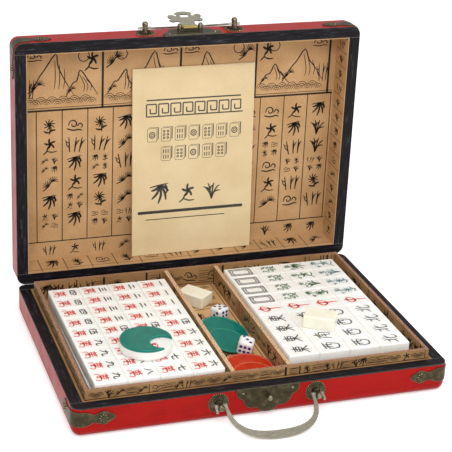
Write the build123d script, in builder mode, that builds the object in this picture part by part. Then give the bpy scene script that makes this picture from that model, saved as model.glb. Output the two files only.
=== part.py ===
"""Mahjong case: a hinged, cloth-covered wooden case with a lift-out tray of tiles.

Frame: +X right, -Y front, +Z up, origin at the centre of the underside of the base.
The lid is drawn standing open at a right angle behind the base.
"""

import os
from math import cos, radians, sin, sqrt

from build123d import *

os.makedirs("parts", exist_ok=True)

# ---- shells (the base and the lid are two boxes of one plan) ----
CASE_W = 290.0
CASE_D = 206.0
BASE_H = 24.0
LID_H = 27.7
SEAM = 0.3
CORNER_R = 7.0
EDGE_R = 7.0
COVERING_T = 0.6
RIM_W = 9.2
RIM_T = 0.8
JOINT_GAP = 0.1
SHEET_INSET = 9.0
BASE_BOARD_T = 2.4
LID_BOARD_T = 2.2
BASE_LINING_T = 1.6
LID_LINING_T = 0.5
FLOOR_LINING_T = 0.5

# ---- tray ----
TRAY_CLEAR = 0.7
TRAY_SEAT_Z = 11.8
SEAT_GAP = 0.1
TRAY_WALL_T = 2.5
TRAY_FLOOR_T = 1.9
TRAY_TOP_Z = 31.5
BEARER_W = 10.0
DIVIDER_T = 3.2
DIVIDER_TOP_Z = 30.8
MIDDLE_W = 40.6

# ---- tiles ----
TILE_T = 10.1
TILE_R = 0.9
TILE_GAP = 0.1
TILE_COLUMNS = 4
TILE_ROWS = 9
BAY_SPARE_W = 9.5
BAY_SPARE_D = 22.3
LEFT_BLOCK_SHIFT_X = -0.15
LEFT_BLOCK_SHIFT_Y = -9.8
LEFT_BLOCK_TURN = 0.4
RIGHT_BLOCK_SHIFT_X = -4.25
RIGHT_BLOCK_SHIFT_Y = -4.2
LOWER_LAYER_SHIFT = -0.5
LOOSE_TILE_SHIFT_X = -7.9
LOOSE_TILE_ROWS = 2.0636
LOOSE_TILE_TURN = -31.8
SPARE_TILE_X = -5.2
SPARE_TILE_SHIFT_Y = -1.5
SPARE_TILE_TURN = 130.6

# ---- wind indicator ----
INDICATOR_SHIFT_X = 0.6
INDICATOR_ROWS = 2.104
INDICATOR_R = 19.6
CUP_T = 7.2
TOP_T = 1.9
TOP_GAP = 0.2
STEM_R = 2.0
STEM_CLEAR = 0.08
STEM_L = 4.0
TOP_EDGE_R = 0.6
WINDOW_X = 10.8
WINDOW_Y = -7.8
WINDOW_R = 9.5

# ---- discs and dice: across, from the front of the middle compartment, above its floor ----
DISC_T = 1.2
DISC_R = 19.6
COUNTER_R = 16.0
DISC_RIM_W = 1.1
DISC_DISH = 0.35
DISC_EDGE_R = 0.25
GREEN_DISC_X = -0.7
GREEN_DISC_Y = 83.7
GREEN_DISC_Z = 6.0
GREEN_COUNTER_X = -2.6
GREEN_COUNTER_Y = 68.8
GREEN_COUNTER_Z = 5.6
GREEN_SLOPE = (-0.19, 0.15)
RED_DISC_X = -0.5
RED_DISC_Y = 26.5
RED_DISC_Z = 3.7
RED_COUNTER_X = 0.2
RED_COUNTER_Y = 16.4
RED_COUNTER_Z = 4.2
RED_SLOPE = (0.0, 0.08)
DIE_SIZE = 12.0
DIE_R = 2.5
FIRST_DIE_X = 4.6
FIRST_DIE_Y = 112.8
FIRST_DIE_TURN = 28.0
SECOND_DIE_X = 5.2
SECOND_DIE_Y = 53.2
SECOND_DIE_Z = 2.05
SECOND_DIE_WAY = (0.874, -0.449, -0.187)
SECOND_DIE_UP = (0.127, -0.16, 0.979)

# ---- booklet ----
BOOKLET_W = 106.0
BOOKLET_H = 163.0
BOOKLET_T = 1.5
BOOKLET_X = 9.0
BOOKLET_LEAN = 3.3
BOOKLET_FOOT = 13.4

# ---- handles ----
HANDLE_X = 37.6
BASE_HANDLE_DEPTH = 9.0
LID_HANDLE_DEPTH = 10.7
BASE_BAIL_ANGLE = 25.2
LID_BAIL_ANGLE = 107.2
ROSETTE_R = 8.0
ROSETTE_T = 1.0
ROSETTE_LOBES = 16
ROSETTE_LOBE_R = 1.5
COLLAR_R = 3.0
COLLAR_H = 1.4
POST_R = 2.1
POST_BALL_R = 2.5
POST_BALL_H = 7.6
PIVOT_H = 4.6
BAIL_PIN_R = 1.05
BAIL_PIN_CLEAR = 0.1
BAIL_T = 1.6
BAIL_REACH = 33.0
BAIL_GRIP_W = 6.7
BAIL_LEG_CLEAR = 0.3
BAIL_LEG_W = 2.3
BAIL_LEG_STRAIGHT = 6.0
BAIL_INNER_STRAIGHT = 3.0
BAIL_TAIL_W = 1.7
BAIL_TAIL_L = 6.8

# ---- hasp, escutcheon and stud ----
PLATE_T = 1.0
PLATE_HALF_W = 24.5
PLATE_DEPTH = 20.3
PLATE_HOLE_DEPTH = 16.1
PLATE_HOLE_R = 0.9
HASP_DEPTH = 10.7
HASP_AXIS_H = 3.4
HASP_POST_X = 8.7
HASP_POST_R = 1.9
HASP_BALL_R = 2.0
HASP_BALL_H = 5.0
HASP_PIN_R = 0.8
PIN_CLEAR = 0.06
BARREL_R = 2.0
BARREL_HALF_L = 5.8
FLAP_T = 0.9
FLAP_REACH = 24.7
FLAP_HALF_W = 14.2
FLAP_ANGLE = 75.0
SLOT_W = 7.0
SLOT_L = 4.9
STUD_DEPTH = 7.0
STUD_R = 1.6
STUD_BALL_R = 2.2
STUD_BALL_H = 5.2
NAIL_X = 19.2
NAIL_DEPTH = 3.0
NAIL_R = 1.3
NAIL_HEAD_T = 0.6
NAIL_SHANK_R = 0.6
NAIL_SHANK_L = 6.0
NAIL_CLEAR = 0.05

# ---- corner brackets ----
BRACKET_T = 0.8
BRACKET_DEPTH = 8.6
BRACKET_H = 11.3
BRACKET_NECK_H = 6.4
BRACKET_LEAF_H = 10.4
BRACKET_LEAF_L = 14.8
BRACKET_FRONT_L = 31.8
BRACKET_SIDE_L = 31.8
BRACKET_CORNER_L = 8.0
FLOWER_FROM_CORNER = 22.0
FLOWER_R = 3.1
FLOWER_T = 0.9
FLOWER_PETALS = 6

# ---- butt hinges ----
HINGE_X = 90.0
HINGE_L = 30.0
KNUCKLE_R = 1.4
KNUCKLE_GAP = 0.3
KNUCKLE_COUNT = 3
HINGE_PIN_R = 0.7
NOTCH_CLEAR = 0.4
LEAF_T = 0.8
LEAF_W = 12.0
SCREW_HEAD_R = 1.7
SCREW_SHANK_R = 0.9
SCREW_SHANK_L = 6.5
SCREW_HEAD_T = 0.4
SCREW_INSET = 5.5
SCREW_DEPTH = 7.2

# ---- derived places ----
BASE = Plane(origin=(0, 0, BASE_H), x_dir=(1, 0, 0), z_dir=(0, 0, -1))
LID = Plane(
    origin=(0, CASE_D / 2 + SEAM, BASE_H + CASE_D / 2), x_dir=(-1, 0, 0), z_dir=(0, 1, 0)
)
HINGE_AXIS = Axis((0, CASE_D / 2, BASE_H), (1, 0, 0))
CAVITY_W = CASE_W - 2 * RIM_W
CAVITY_D = CASE_D - 2 * RIM_W
TRAY_W = CAVITY_W - 2 * (BASE_LINING_T + TRAY_CLEAR)
TRAY_D = CAVITY_D - 2 * (BASE_LINING_T + TRAY_CLEAR)
TRAY_BOTTOM_Z = TRAY_SEAT_Z + SEAT_GAP
TRAY_FLOOR_Z = TRAY_BOTTOM_Z + TRAY_FLOOR_T
TILE_Z = TRAY_FLOOR_Z + SEAT_GAP
TILE_TOP_Z = TILE_Z + 2 * TILE_T
DIVIDER_X = (MIDDLE_W + DIVIDER_T) / 2
BAY_W = TRAY_W / 2 - TRAY_WALL_T - MIDDLE_W / 2 - DIVIDER_T
BAY_D = TRAY_D - 2 * TRAY_WALL_T
BAY_X = MIDDLE_W / 2 + DIVIDER_T + BAY_W / 2
TILE_L = (BAY_W - BAY_SPARE_W) / TILE_COLUMNS - TILE_GAP
TILE_W = (BAY_D - BAY_SPARE_D) / TILE_ROWS - TILE_GAP
TILE_PITCH_X = TILE_L + TILE_GAP
TILE_PITCH_Y = TILE_W + TILE_GAP
LEFT_BLOCK_AT = (-BAY_X + LEFT_BLOCK_SHIFT_X, LEFT_BLOCK_SHIFT_Y)
RIGHT_BLOCK_AT = (BAY_X + RIGHT_BLOCK_SHIFT_X, RIGHT_BLOCK_SHIFT_Y)
MIDDLE_FRONT = Plane(origin=(0, -BAY_D / 2, TRAY_FLOOR_Z))
BASE_FLOOR_Z = COVERING_T + BASE_BOARD_T + FLOOR_LINING_T
KNUCKLE_L = (HINGE_L - (KNUCKLE_COUNT - 1) * KNUCKLE_GAP) / KNUCKLE_COUNT
NOTCH_R = KNUCKLE_R + NOTCH_CLEAR


def save(part, name):
    part.label = name
    export_step(part, f"parts/{name}.step")


def front_face(shell):
    """Plane on a shell's front wall: x along the wall, y towards the rim, z outward."""
    edge = shell.from_local_coords(Vector(0, CASE_D / 2, 0))
    return Plane(origin=edge, x_dir=shell.x_dir, z_dir=shell.y_dir)


def back_face(shell):
    """Plane on a shell's hinge wall: x along the wall, y away from the rim, z outward."""
    edge = shell.from_local_coords(Vector(0, -CASE_D / 2, 0))
    return Plane(origin=edge, x_dir=shell.x_dir, z_dir=-shell.y_dir)


def side_face(shell, side):
    """Plane on a shell's side wall: x towards the front, z outward."""
    edge = shell.from_local_coords(Vector(side * CASE_W / 2, 0, 0))
    return Plane(origin=edge, x_dir=shell.y_dir, z_dir=side * shell.x_dir)


def nail_places(shell):
    """Every nail of a shell as (plane, x, y, height of the metal under its head)."""
    front = front_face(shell)
    flower_depth = BRACKET_DEPTH
    places = []
    for side in (-1, 1):
        places.append((front, side * NAIL_X, -NAIL_DEPTH, PLATE_T))
        flower_x = side * (CASE_W / 2 - FLOWER_FROM_CORNER)
        places.append((front, flower_x, -flower_depth, BRACKET_T))
        flank = side_face(shell, side)
        depth_sign = -1 if flank.y_dir.dot(shell.z_dir) < 0 else 1
        flank_x = CASE_D / 2 - FLOWER_FROM_CORNER
        places.append((flank, flank_x, depth_sign * flower_depth, BRACKET_T))
    return places


def screw_places(shell):
    """The screws of a shell's hinge leaves as points on its back face."""
    away = 1 if back_face(shell).y_dir.dot(shell.z_dir) > 0 else -1
    points = []
    for hinge_x in (-HINGE_X, HINGE_X):
        for side in (-1, 1):
            screw_x = hinge_x + side * (HINGE_L / 2 - SCREW_INSET)
            points.append((screw_x, away * SCREW_DEPTH))
    return points


def hinge_notches():
    """Clearance for the hinge knuckles, shared by both shells."""
    with BuildPart() as notches:
        for hinge_x in (-HINGE_X, HINGE_X):
            with BuildSketch(Plane.YZ.offset(hinge_x - HINGE_L / 2 - NOTCH_CLEAR)):
                with Locations((HINGE_AXIS.position.Y, HINGE_AXIS.position.Z)):
                    Circle(NOTCH_R)
            extrude(amount=HINGE_L + 2 * NOTCH_CLEAR)
    return notches.part


def fastener_holes(shell):
    """Holes for the nails and screws of a shell, with the hinge notches."""
    with BuildPart() as holes:
        for plane, x, y, seat in nail_places(shell):
            with BuildSketch(plane.offset(seat)):
                with Locations((x, y)):
                    Circle(NAIL_SHANK_R + NAIL_CLEAR)
            extrude(amount=-(seat + NAIL_SHANK_L))
        with BuildSketch(back_face(shell)):
            with Locations(*screw_places(shell)):
                Circle(SCREW_SHANK_R + NAIL_CLEAR)
        extrude(amount=-SCREW_SHANK_L)
        add(hinge_notches())
    return holes.part


def shell_walls(shell, height):
    """Four wooden walls with butt joints, outer lower edge rounded."""
    holes = fastener_holes(shell)
    with BuildPart() as walls:
        with BuildSketch(shell.offset(RIM_T)):
            inset = 2 * COVERING_T
            RectangleRounded(CASE_W - inset, CASE_D - inset, CORNER_R - COVERING_T)
        extrude(amount=height - RIM_T - COVERING_T)
        underside = walls.faces().sort_by(Axis(shell.origin, shell.z_dir))[-1]
        fillet(underside.edges(), EDGE_R - COVERING_T)
        with BuildSketch(shell):
            Rectangle(CAVITY_W, CAVITY_D)
            with Locations((0, (CAVITY_D - JOINT_GAP) / 2), (0, -(CAVITY_D - JOINT_GAP) / 2)):
                Rectangle(CASE_W, JOINT_GAP)
        extrude(amount=height, mode=Mode.SUBTRACT)
        add(holes, mode=Mode.SUBTRACT)
    return walls.part


def shell_board(shell, height, thickness):
    """Flat board let into the walls."""
    with BuildPart() as board:
        with BuildSketch(shell.offset(height - COVERING_T - thickness)):
            Rectangle(CAVITY_W, CAVITY_D)
        extrude(amount=thickness)
    return board.part


def shell_side_covering(shell, height):
    """Leatherette round the four walls, turned in under the rounded edge."""
    holes = fastener_holes(shell)
    with BuildPart() as covering:
        with BuildSketch(shell.offset(RIM_T)):
            RectangleRounded(CASE_W, CASE_D, CORNER_R)
        extrude(amount=height - RIM_T)
        outward = Axis(shell.origin, shell.z_dir)
        fillet(covering.faces().sort_by(outward)[-1].edges(), EDGE_R)
        with BuildSketch(shell.offset(height)):
            Rectangle(CASE_W - 2 * SHEET_INSET, CASE_D - 2 * SHEET_INSET)
        extrude(amount=-COVERING_T, mode=Mode.SUBTRACT)
    with BuildPart() as core:
        with BuildSketch(shell.offset(RIM_T)):
            inset = 2 * COVERING_T
            RectangleRounded(CASE_W - inset, CASE_D - inset, CORNER_R - COVERING_T)
        extrude(amount=height - RIM_T - COVERING_T)
        fillet(core.faces().sort_by(outward)[-1].edges(), EDGE_R - COVERING_T)
    with BuildPart() as skin:
        add(covering.part)
        add(core.part, mode=Mode.SUBTRACT)
        add(holes, mode=Mode.SUBTRACT)
    return skin.part


def shell_sheet(shell, height):
    """Leatherette sheet on the flat outside of the board."""
    with BuildPart() as sheet:
        with BuildSketch(shell.offset(height - COVERING_T)):
            Rectangle(CASE_W - 2 * SHEET_INSET, CASE_D - 2 * SHEET_INSET)
        extrude(amount=COVERING_T)
    return sheet.part


def shell_rim(shell, strip_y, strip_d):
    """The part of the flat black rim that lies within a band of the plan."""
    notches = hinge_notches()
    with BuildPart() as rim:
        with BuildSketch(shell):
            RectangleRounded(CASE_W, CASE_D, CORNER_R)
            Rectangle(CAVITY_W, CAVITY_D, mode=Mode.SUBTRACT)
            with Locations((0, strip_y)):
                Rectangle(CASE_W, strip_d, mode=Mode.INTERSECT)
        extrude(amount=RIM_T)
        add(notches, mode=Mode.SUBTRACT)
    return rim.part


def shell_wall_lining(shell, height, board_t, lining_t):
    """Printed paper board inside the walls, flush with the rim."""
    with BuildPart() as lining:
        with BuildSketch(shell):
            Rectangle(CAVITY_W, CAVITY_D)
            Rectangle(CAVITY_W - 2 * lining_t, CAVITY_D - 2 * lining_t, mode=Mode.SUBTRACT)
        extrude(amount=height - COVERING_T - board_t - FLOOR_LINING_T)
    return lining.part


def shell_floor_lining(shell, height, board_t):
    """Printed paper on the inside of the board."""
    with BuildPart() as lining:
        with BuildSketch(shell.offset(height - COVERING_T - board_t - FLOOR_LINING_T)):
            Rectangle(CAVITY_W, CAVITY_D)
        extrude(amount=FLOOR_LINING_T)
    return lining.part


def bracket_arm(plane, corner_x, length, inward):
    """What is cut from one arm of a bracket, outside its waist and its pointed leaf."""
    high = BRACKET_H / 2
    waist = BRACKET_NECK_H / 2
    lobe = BRACKET_LEAF_H / 2
    tip = length
    neck = length - BRACKET_LEAF_L
    with BuildSketch() as leaf:
        with BuildLine():
            Line((0, 0), (0, high))
            Line((0, high), (BRACKET_CORNER_L, high))
            Spline(
                (BRACKET_CORNER_L, high),
                (neck, waist),
                (neck + 0.41 * BRACKET_LEAF_L, lobe),
                (neck + 0.66 * BRACKET_LEAF_L, 0.64 * lobe),
                tangents=((1, -0.1), (0.5, -1)),
            )
            ThreePointArc(
                (neck + 0.66 * BRACKET_LEAF_L, 0.64 * lobe),
                (neck + 0.86 * BRACKET_LEAF_L, 0.44 * lobe),
                (tip, 0),
            )
            mirror(about=Plane.XZ)
        make_face()
    with BuildPart() as waste:
        with BuildSketch(plane):
            with Locations((corner_x + inward * (length / 2 + 1), 0)):
                Rectangle(length + 2, 2 * BRACKET_H)
            with Locations(Location((corner_x, 0, 0), (0, 0, 0 if inward > 0 else 180))):
                add(leaf.sketch, mode=Mode.SUBTRACT)
        extrude(amount=BRACKET_T)
    return waste.part


def shell_brackets(shell):
    """Two thin metal brackets round the front corners of a shell."""
    front = front_face(shell)
    drop = shell.z_dir * BRACKET_DEPTH
    cuts = [fastener_holes(shell)]
    for side in (-1, 1):
        flank = side_face(shell, side)
        front_line = Plane(front.origin + drop, front.x_dir, front.z_dir)
        flank_line = Plane(flank.origin + drop, flank.x_dir, flank.z_dir)
        cuts.append(bracket_arm(front_line, side * CASE_W / 2, BRACKET_FRONT_L - BRACKET_T, -side))
        cuts.append(bracket_arm(flank_line, CASE_D / 2, BRACKET_SIDE_L - BRACKET_T, -1))
    with BuildPart() as brackets:
        with BuildSketch(shell.offset(BRACKET_DEPTH - BRACKET_H / 2)):
            over = 2 * BRACKET_T
            RectangleRounded(CASE_W + over, CASE_D + over, CORNER_R + BRACKET_T)
            RectangleRounded(CASE_W, CASE_D, CORNER_R, mode=Mode.SUBTRACT)
            keep_x = CASE_W / 2 + BRACKET_T - BRACKET_FRONT_L / 2
            keep_y = CASE_D / 2 + BRACKET_T - BRACKET_SIDE_L / 2
            with Locations((keep_x, keep_y), (-keep_x, keep_y)):
                Rectangle(BRACKET_FRONT_L, BRACKET_SIDE_L, mode=Mode.INTERSECT)
        extrude(amount=BRACKET_H)
        add(cuts, mode=Mode.SUBTRACT)
    return brackets.part


def shell_flower_nails(shell):
    """Flower-headed nails that hold the brackets."""
    with BuildPart() as nails:
        for plane, x, y, seat in nail_places(shell):
            if seat != BRACKET_T:
                continue
            with BuildSketch(plane.offset(seat)):
                with Locations((x, y)):
                    Circle(FLOWER_R * 0.62)
                    with PolarLocations(FLOWER_R * 0.62, FLOWER_PETALS):
                        Circle(FLOWER_R * 0.38)
            extrude(amount=FLOWER_T * 0.6)
            with BuildSketch(plane.offset(seat)):
                with Locations((x, y)):
                    Circle(FLOWER_R * 0.36)
            extrude(amount=FLOWER_T)
            with BuildSketch(plane.offset(seat)):
                with Locations((x, y)):
                    Circle(NAIL_SHANK_R)
            extrude(amount=-(seat + NAIL_SHANK_L - NAIL_CLEAR))
    return nails.part


def shell_plate_nails(shell):
    """Round-headed nails that hold the hasp plate or the escutcheon."""
    with BuildPart() as nails:
        for plane, x, y, seat in nail_places(shell):
            if seat != PLATE_T:
                continue
            with BuildSketch(plane.offset(seat)):
                with Locations((x, y)):
                    Circle(NAIL_R)
            extrude(amount=NAIL_HEAD_T, taper=35)
            with BuildSketch(plane.offset(seat)):
                with Locations((x, y)):
                    Circle(NAIL_SHANK_R)
            extrude(amount=-(seat + NAIL_SHANK_L - NAIL_CLEAR))
    return nails.part


def plate_outline():
    """Scalloped half plate hanging from the rim, x across and -y away from the rim."""
    shoulder = (0.975 * PLATE_HALF_W, 0)
    notch = (0.775 * PLATE_HALF_W, -0.405 * PLATE_DEPTH)
    belly = (0.46 * PLATE_HALF_W, -0.81 * PLATE_DEPTH)
    tongue = (0.31 * PLATE_HALF_W, -0.81 * PLATE_DEPTH)
    with BuildSketch() as outline:
        with BuildLine():
            Line((0, 0), shoulder)
            ThreePointArc(shoulder, (0.965 * PLATE_HALF_W, -0.26 * PLATE_DEPTH), notch)
            ThreePointArc(notch, (0.69 * PLATE_HALF_W, -0.665 * PLATE_DEPTH), belly)
            ThreePointArc(belly, ((belly[0] + tongue[0]) / 2, -0.79 * PLATE_DEPTH), tongue)
            ThreePointArc(tongue, (0.2 * PLATE_HALF_W, -0.955 * PLATE_DEPTH), (0, -PLATE_DEPTH))
            mirror(about=Plane.YZ)
        make_face()
    return outline.sketch


def scalloped_plate(shell):
    """Metal plate on the middle of a shell's front wall, below its rim strip."""
    outline = plate_outline()
    with BuildPart() as plate:
        with BuildSketch(front_face(shell)):
            add(outline)
            with Locations((NAIL_X, -NAIL_DEPTH), (-NAIL_X, -NAIL_DEPTH)):
                Circle(NAIL_SHANK_R + NAIL_CLEAR, mode=Mode.SUBTRACT)
            with Locations((0, -PLATE_HOLE_DEPTH)):
                Circle(PLATE_HOLE_R, mode=Mode.SUBTRACT)
        extrude(amount=PLATE_T)
    return plate.part


def ball_post(plane, x, y, shank_r, ball_r, ball_h, seat):
    """Turned post with a ball end; plane z is outward and seat is where it stands."""
    with Locations(plane.offset(seat)):
        with Locations((x, y, 0)):
            Cylinder(shank_r, ball_h - seat, align=(Align.CENTER, Align.CENTER, Align.MIN))
    with Locations(plane.offset(ball_h)):
        with Locations((x, y, 0)):
            Sphere(ball_r)


def handle_rosettes(shell, depth):
    """Two scalloped washers under the posts of a handle."""
    with BuildPart() as rosettes:
        with BuildSketch(front_face(shell)):
            for side in (-1, 1):
                with Locations((side * HANDLE_X, -depth)):
                    Circle(ROSETTE_R - ROSETTE_LOBE_R)
                    with PolarLocations(ROSETTE_R - ROSETTE_LOBE_R, ROSETTE_LOBES):
                        Circle(ROSETTE_LOBE_R)
        extrude(amount=ROSETTE_T)
    return rosettes.part


def handle_posts(shell, depth):
    """Two ball-ended eye posts that a handle turns in."""
    front = front_face(shell)
    with BuildPart() as posts:
        for side in (-1, 1):
            ball_post(front, side * HANDLE_X, -depth, POST_R, POST_BALL_R, POST_BALL_H, ROSETTE_T)
            with Locations(front.offset(ROSETTE_T)):
                with Locations((side * HANDLE_X, -depth, 0)):
                    Cylinder(COLLAR_R, COLLAR_H, align=(Align.CENTER, Align.CENTER, Align.MIN))
        eye_y = front.from_local_coords(Vector(0, -depth, PIVOT_H))
        with BuildSketch(Plane.YZ):
            with Locations((eye_y.Y, eye_y.Z)):
                Circle(BAIL_PIN_R + BAIL_PIN_CLEAR)
        extrude(amount=CASE_W / 2, both=True, mode=Mode.SUBTRACT)
    return posts.part


def bail_handle(shell, depth, angle):
    """Flat strap handle; angle is from the outward direction, away from the rim."""
    front = front_face(shell)
    pivot = front.from_local_coords(Vector(0, -depth, PIVOT_H))
    reach = front.z_dir * cos(radians(angle)) - front.y_dir * sin(radians(angle))
    flat = Plane(origin=pivot, x_dir=front.x_dir, z_dir=front.x_dir.cross(reach))
    leg_x = HANDLE_X - POST_BALL_R - BAIL_LEG_CLEAR
    tail_x = HANDLE_X + POST_BALL_R + BAIL_LEG_CLEAR
    inner_x = leg_x - BAIL_LEG_W
    inner_reach = BAIL_REACH - BAIL_GRIP_W
    with BuildPart() as bail:
        with BuildSketch(flat.offset(-BAIL_T / 2)):
            with BuildLine():
                Line((inner_x, -BAIL_PIN_R), (leg_x, -BAIL_PIN_R))
                Line((leg_x, -BAIL_PIN_R), (leg_x, BAIL_LEG_STRAIGHT))
                Bezier(
                    (leg_x, BAIL_LEG_STRAIGHT),
                    (leg_x, 0.69 * BAIL_REACH),
                    (0.62 * leg_x, BAIL_REACH),
                    (0, BAIL_REACH),
                )
                Line((0, BAIL_REACH), (0, inner_reach))
                Bezier(
                    (0, inner_reach),
                    (0.6 * leg_x, inner_reach),
                    (0.9 * leg_x, 0.8 * inner_reach),
                    (inner_x, BAIL_INNER_STRAIGHT),
                )
                Line((inner_x, BAIL_INNER_STRAIGHT), (inner_x, -BAIL_PIN_R))
            make_face()
            mirror(about=Plane.YZ)
            for side in (-1, 1):
                tail_middle = side * (tail_x + BAIL_TAIL_W / 2)
                with Locations((tail_middle, BAIL_TAIL_L / 2 - BAIL_PIN_R)):
                    Rectangle(BAIL_TAIL_W, BAIL_TAIL_L)
        extrude(amount=BAIL_T)
        pin_l = tail_x - leg_x + 2 * BAIL_T
        with Locations(flat):
            for side in (-1, 1):
                with Locations((side * (tail_x + leg_x) / 2, 0, 0)):
                    Cylinder(BAIL_PIN_R, pin_l, rotation=(0, 90, 0))
    return bail.part


def hinge_leaves(shell, first_knuckle):
    """Two hinge leaves of a shell with every second knuckle, starting at first_knuckle."""
    back = back_face(shell)
    away = 1 if back.y_dir.dot(shell.z_dir) > 0 else -1
    axis_y = back.to_local_coords(HINGE_AXIS.position).Y
    with BuildPart() as leaves:
        for hinge_x in (-HINGE_X, HINGE_X):
            with BuildSketch(back):
                plate_near = axis_y + away * NOTCH_R
                plate_far = axis_y + away * LEAF_W
                with Locations((hinge_x, (plate_near + plate_far) / 2)):
                    Rectangle(HINGE_L, LEAF_W - NOTCH_R)
                for index in range(first_knuckle, KNUCKLE_COUNT, 2):
                    knuckle_x = hinge_x - HINGE_L / 2 + KNUCKLE_L / 2
                    knuckle_x += index * (KNUCKLE_L + KNUCKLE_GAP)
                    with Locations((knuckle_x, axis_y + away * LEAF_W / 2)):
                        Rectangle(KNUCKLE_L, LEAF_W)
                with Locations(*screw_places(shell)):
                    Circle(SCREW_SHANK_R + NAIL_CLEAR, mode=Mode.SUBTRACT)
            extrude(amount=LEAF_T)
            for index in range(first_knuckle, KNUCKLE_COUNT, 2):
                knuckle_start = hinge_x - HINGE_L / 2 + index * (KNUCKLE_L + KNUCKLE_GAP)
                with BuildSketch(Plane.YZ.offset(knuckle_start)):
                    with Locations((HINGE_AXIS.position.Y, HINGE_AXIS.position.Z)):
                        Circle(KNUCKLE_R)
                extrude(amount=KNUCKLE_L)
        with BuildSketch(Plane.YZ):
            with Locations((HINGE_AXIS.position.Y, HINGE_AXIS.position.Z)):
                Circle(HINGE_PIN_R + PIN_CLEAR)
        extrude(amount=CASE_W / 2, both=True, mode=Mode.SUBTRACT)
    return leaves.part


def hinge_screws(shell):
    """Dome-headed screws through the hinge leaves of a shell."""
    back = back_face(shell)
    with BuildPart() as screws:
        with BuildSketch(back.offset(LEAF_T)):
            with Locations(*screw_places(shell)):
                Circle(SCREW_HEAD_R)
        extrude(amount=SCREW_HEAD_T)
        with BuildSketch(back.offset(LEAF_T)):
            with Locations(*screw_places(shell)):
                Circle(SCREW_SHANK_R)
        extrude(amount=-(LEAF_T + SCREW_SHANK_L - NAIL_CLEAR))
    return screws.part


def tile_solid():
    """One tile centred on its own origin, standing on z = 0."""
    with BuildPart() as tile:
        Box(TILE_L, TILE_W, TILE_T, align=(Align.CENTER, Align.CENTER, Align.MIN))
        fillet(tile.edges(), TILE_R)
    return tile.part


def tile_layer(centre, turn, height):
    """A layer of tiles lying face up, as separate solids."""
    tile = tile_solid()
    with BuildPart() as layer:
        with Locations(Location((centre[0], centre[1], height), (0, 0, turn))):
            with GridLocations(TILE_PITCH_X, TILE_PITCH_Y, TILE_COLUMNS, TILE_ROWS):
                add(tile)
    return layer.part


def lying_disc(x, y, z, slope, radius):
    """Thin dished disc in the middle compartment, with the rise of its top along X and Y."""
    centre = MIDDLE_FRONT.from_local_coords(Vector(x, y, z))
    top = Plane(origin=centre, x_dir=(1, 0, slope[0]), z_dir=(-slope[0], -slope[1], 1))
    with BuildPart() as disc:
        with BuildSketch(top):
            Circle(radius)
        extrude(amount=-DISC_T)
        fillet(disc.faces().filter_by(GeomType.PLANE).edges(), DISC_EDGE_R)
        with BuildSketch(top):
            Circle(radius - DISC_RIM_W)
        extrude(amount=-DISC_DISH, mode=Mode.SUBTRACT)
    return disc.part


# ---- base and lid shells ----
for shell_name, shell, height, board_t, lining_t in (
    ("base", BASE, BASE_H, BASE_BOARD_T, BASE_LINING_T),
    ("lid", LID, LID_H, LID_BOARD_T, LID_LINING_T),
):
    side_strip_d = CAVITY_D - 2 * JOINT_GAP
    end_strip_y = (CASE_D - RIM_W) / 2
    save(shell_walls(shell, height), f"{shell_name}_walls")
    save(shell_board(shell, height, board_t), f"{shell_name}_board")
    save(shell_side_covering(shell, height), f"{shell_name}_side_covering")
    save(shell_sheet(shell, height), f"{shell_name}_board_covering")
    save(shell_rim(shell, end_strip_y, RIM_W), f"{shell_name}_rim_front")
    save(shell_rim(shell, -end_strip_y, RIM_W), f"{shell_name}_rim_back")
    save(shell_rim(shell, 0, side_strip_d), f"{shell_name}_rim_sides")
    save(shell_wall_lining(shell, height, board_t, lining_t), f"{shell_name}_wall_lining")
    save(shell_floor_lining(shell, height, board_t), f"{shell_name}_floor_lining")
    save(shell_brackets(shell), f"{shell_name}_corner_brackets")
    save(shell_flower_nails(shell), f"{shell_name}_flower_nails")
    save(shell_plate_nails(shell), f"{shell_name}_plate_nails")
    save(hinge_screws(shell), f"{shell_name}_hinge_screws")

save(hinge_leaves(BASE, 0), "base_hinge_leaves")
save(hinge_leaves(LID, 1), "lid_hinge_leaves")

with BuildPart() as hinge_pins:
    for hinge_x in (-HINGE_X, HINGE_X):
        with BuildSketch(Plane.YZ.offset(hinge_x - HINGE_L / 2)):
            with Locations((HINGE_AXIS.position.Y, HINGE_AXIS.position.Z)):
                Circle(HINGE_PIN_R)
        extrude(amount=HINGE_L)
save(hinge_pins.part, "hinge_pins")

# ---- handles ----
for handle_name, shell, depth, angle in (
    ("base", BASE, BASE_HANDLE_DEPTH, BASE_BAIL_ANGLE),
    ("lid", LID, LID_HANDLE_DEPTH, LID_BAIL_ANGLE),
):
    save(handle_rosettes(shell, depth), f"{handle_name}_handle_rosettes")
    save(handle_posts(shell, depth), f"{handle_name}_handle_posts")
    save(bail_handle(shell, depth, angle), f"{handle_name}_handle")

# ---- escutcheon and stud on the base, hasp on the lid ----
save(scalloped_plate(BASE), "escutcheon")
save(scalloped_plate(LID), "hasp_plate")

with BuildPart() as catch_stud:
    ball_post(front_face(BASE), 0, -STUD_DEPTH, STUD_R, STUD_BALL_R, STUD_BALL_H, PLATE_T)
save(catch_stud.part, "catch_stud")

LID_FRONT = front_face(LID)
HASP_PIVOT = LID_FRONT.from_local_coords(Vector(0, -HASP_DEPTH, HASP_AXIS_H))

with BuildPart() as hasp_posts:
    for side in (-1, 1):
        ball_post(
            LID_FRONT, side * HASP_POST_X, -HASP_DEPTH, HASP_POST_R, HASP_BALL_R, HASP_BALL_H, PLATE_T
        )
    with BuildSketch(Plane.YZ):
        with Locations((HASP_PIVOT.Y, HASP_PIVOT.Z)):
            Circle(HASP_PIN_R + PIN_CLEAR)
    extrude(amount=CASE_W / 2, both=True, mode=Mode.SUBTRACT)
save(hasp_posts.part, "hasp_posts")

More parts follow.
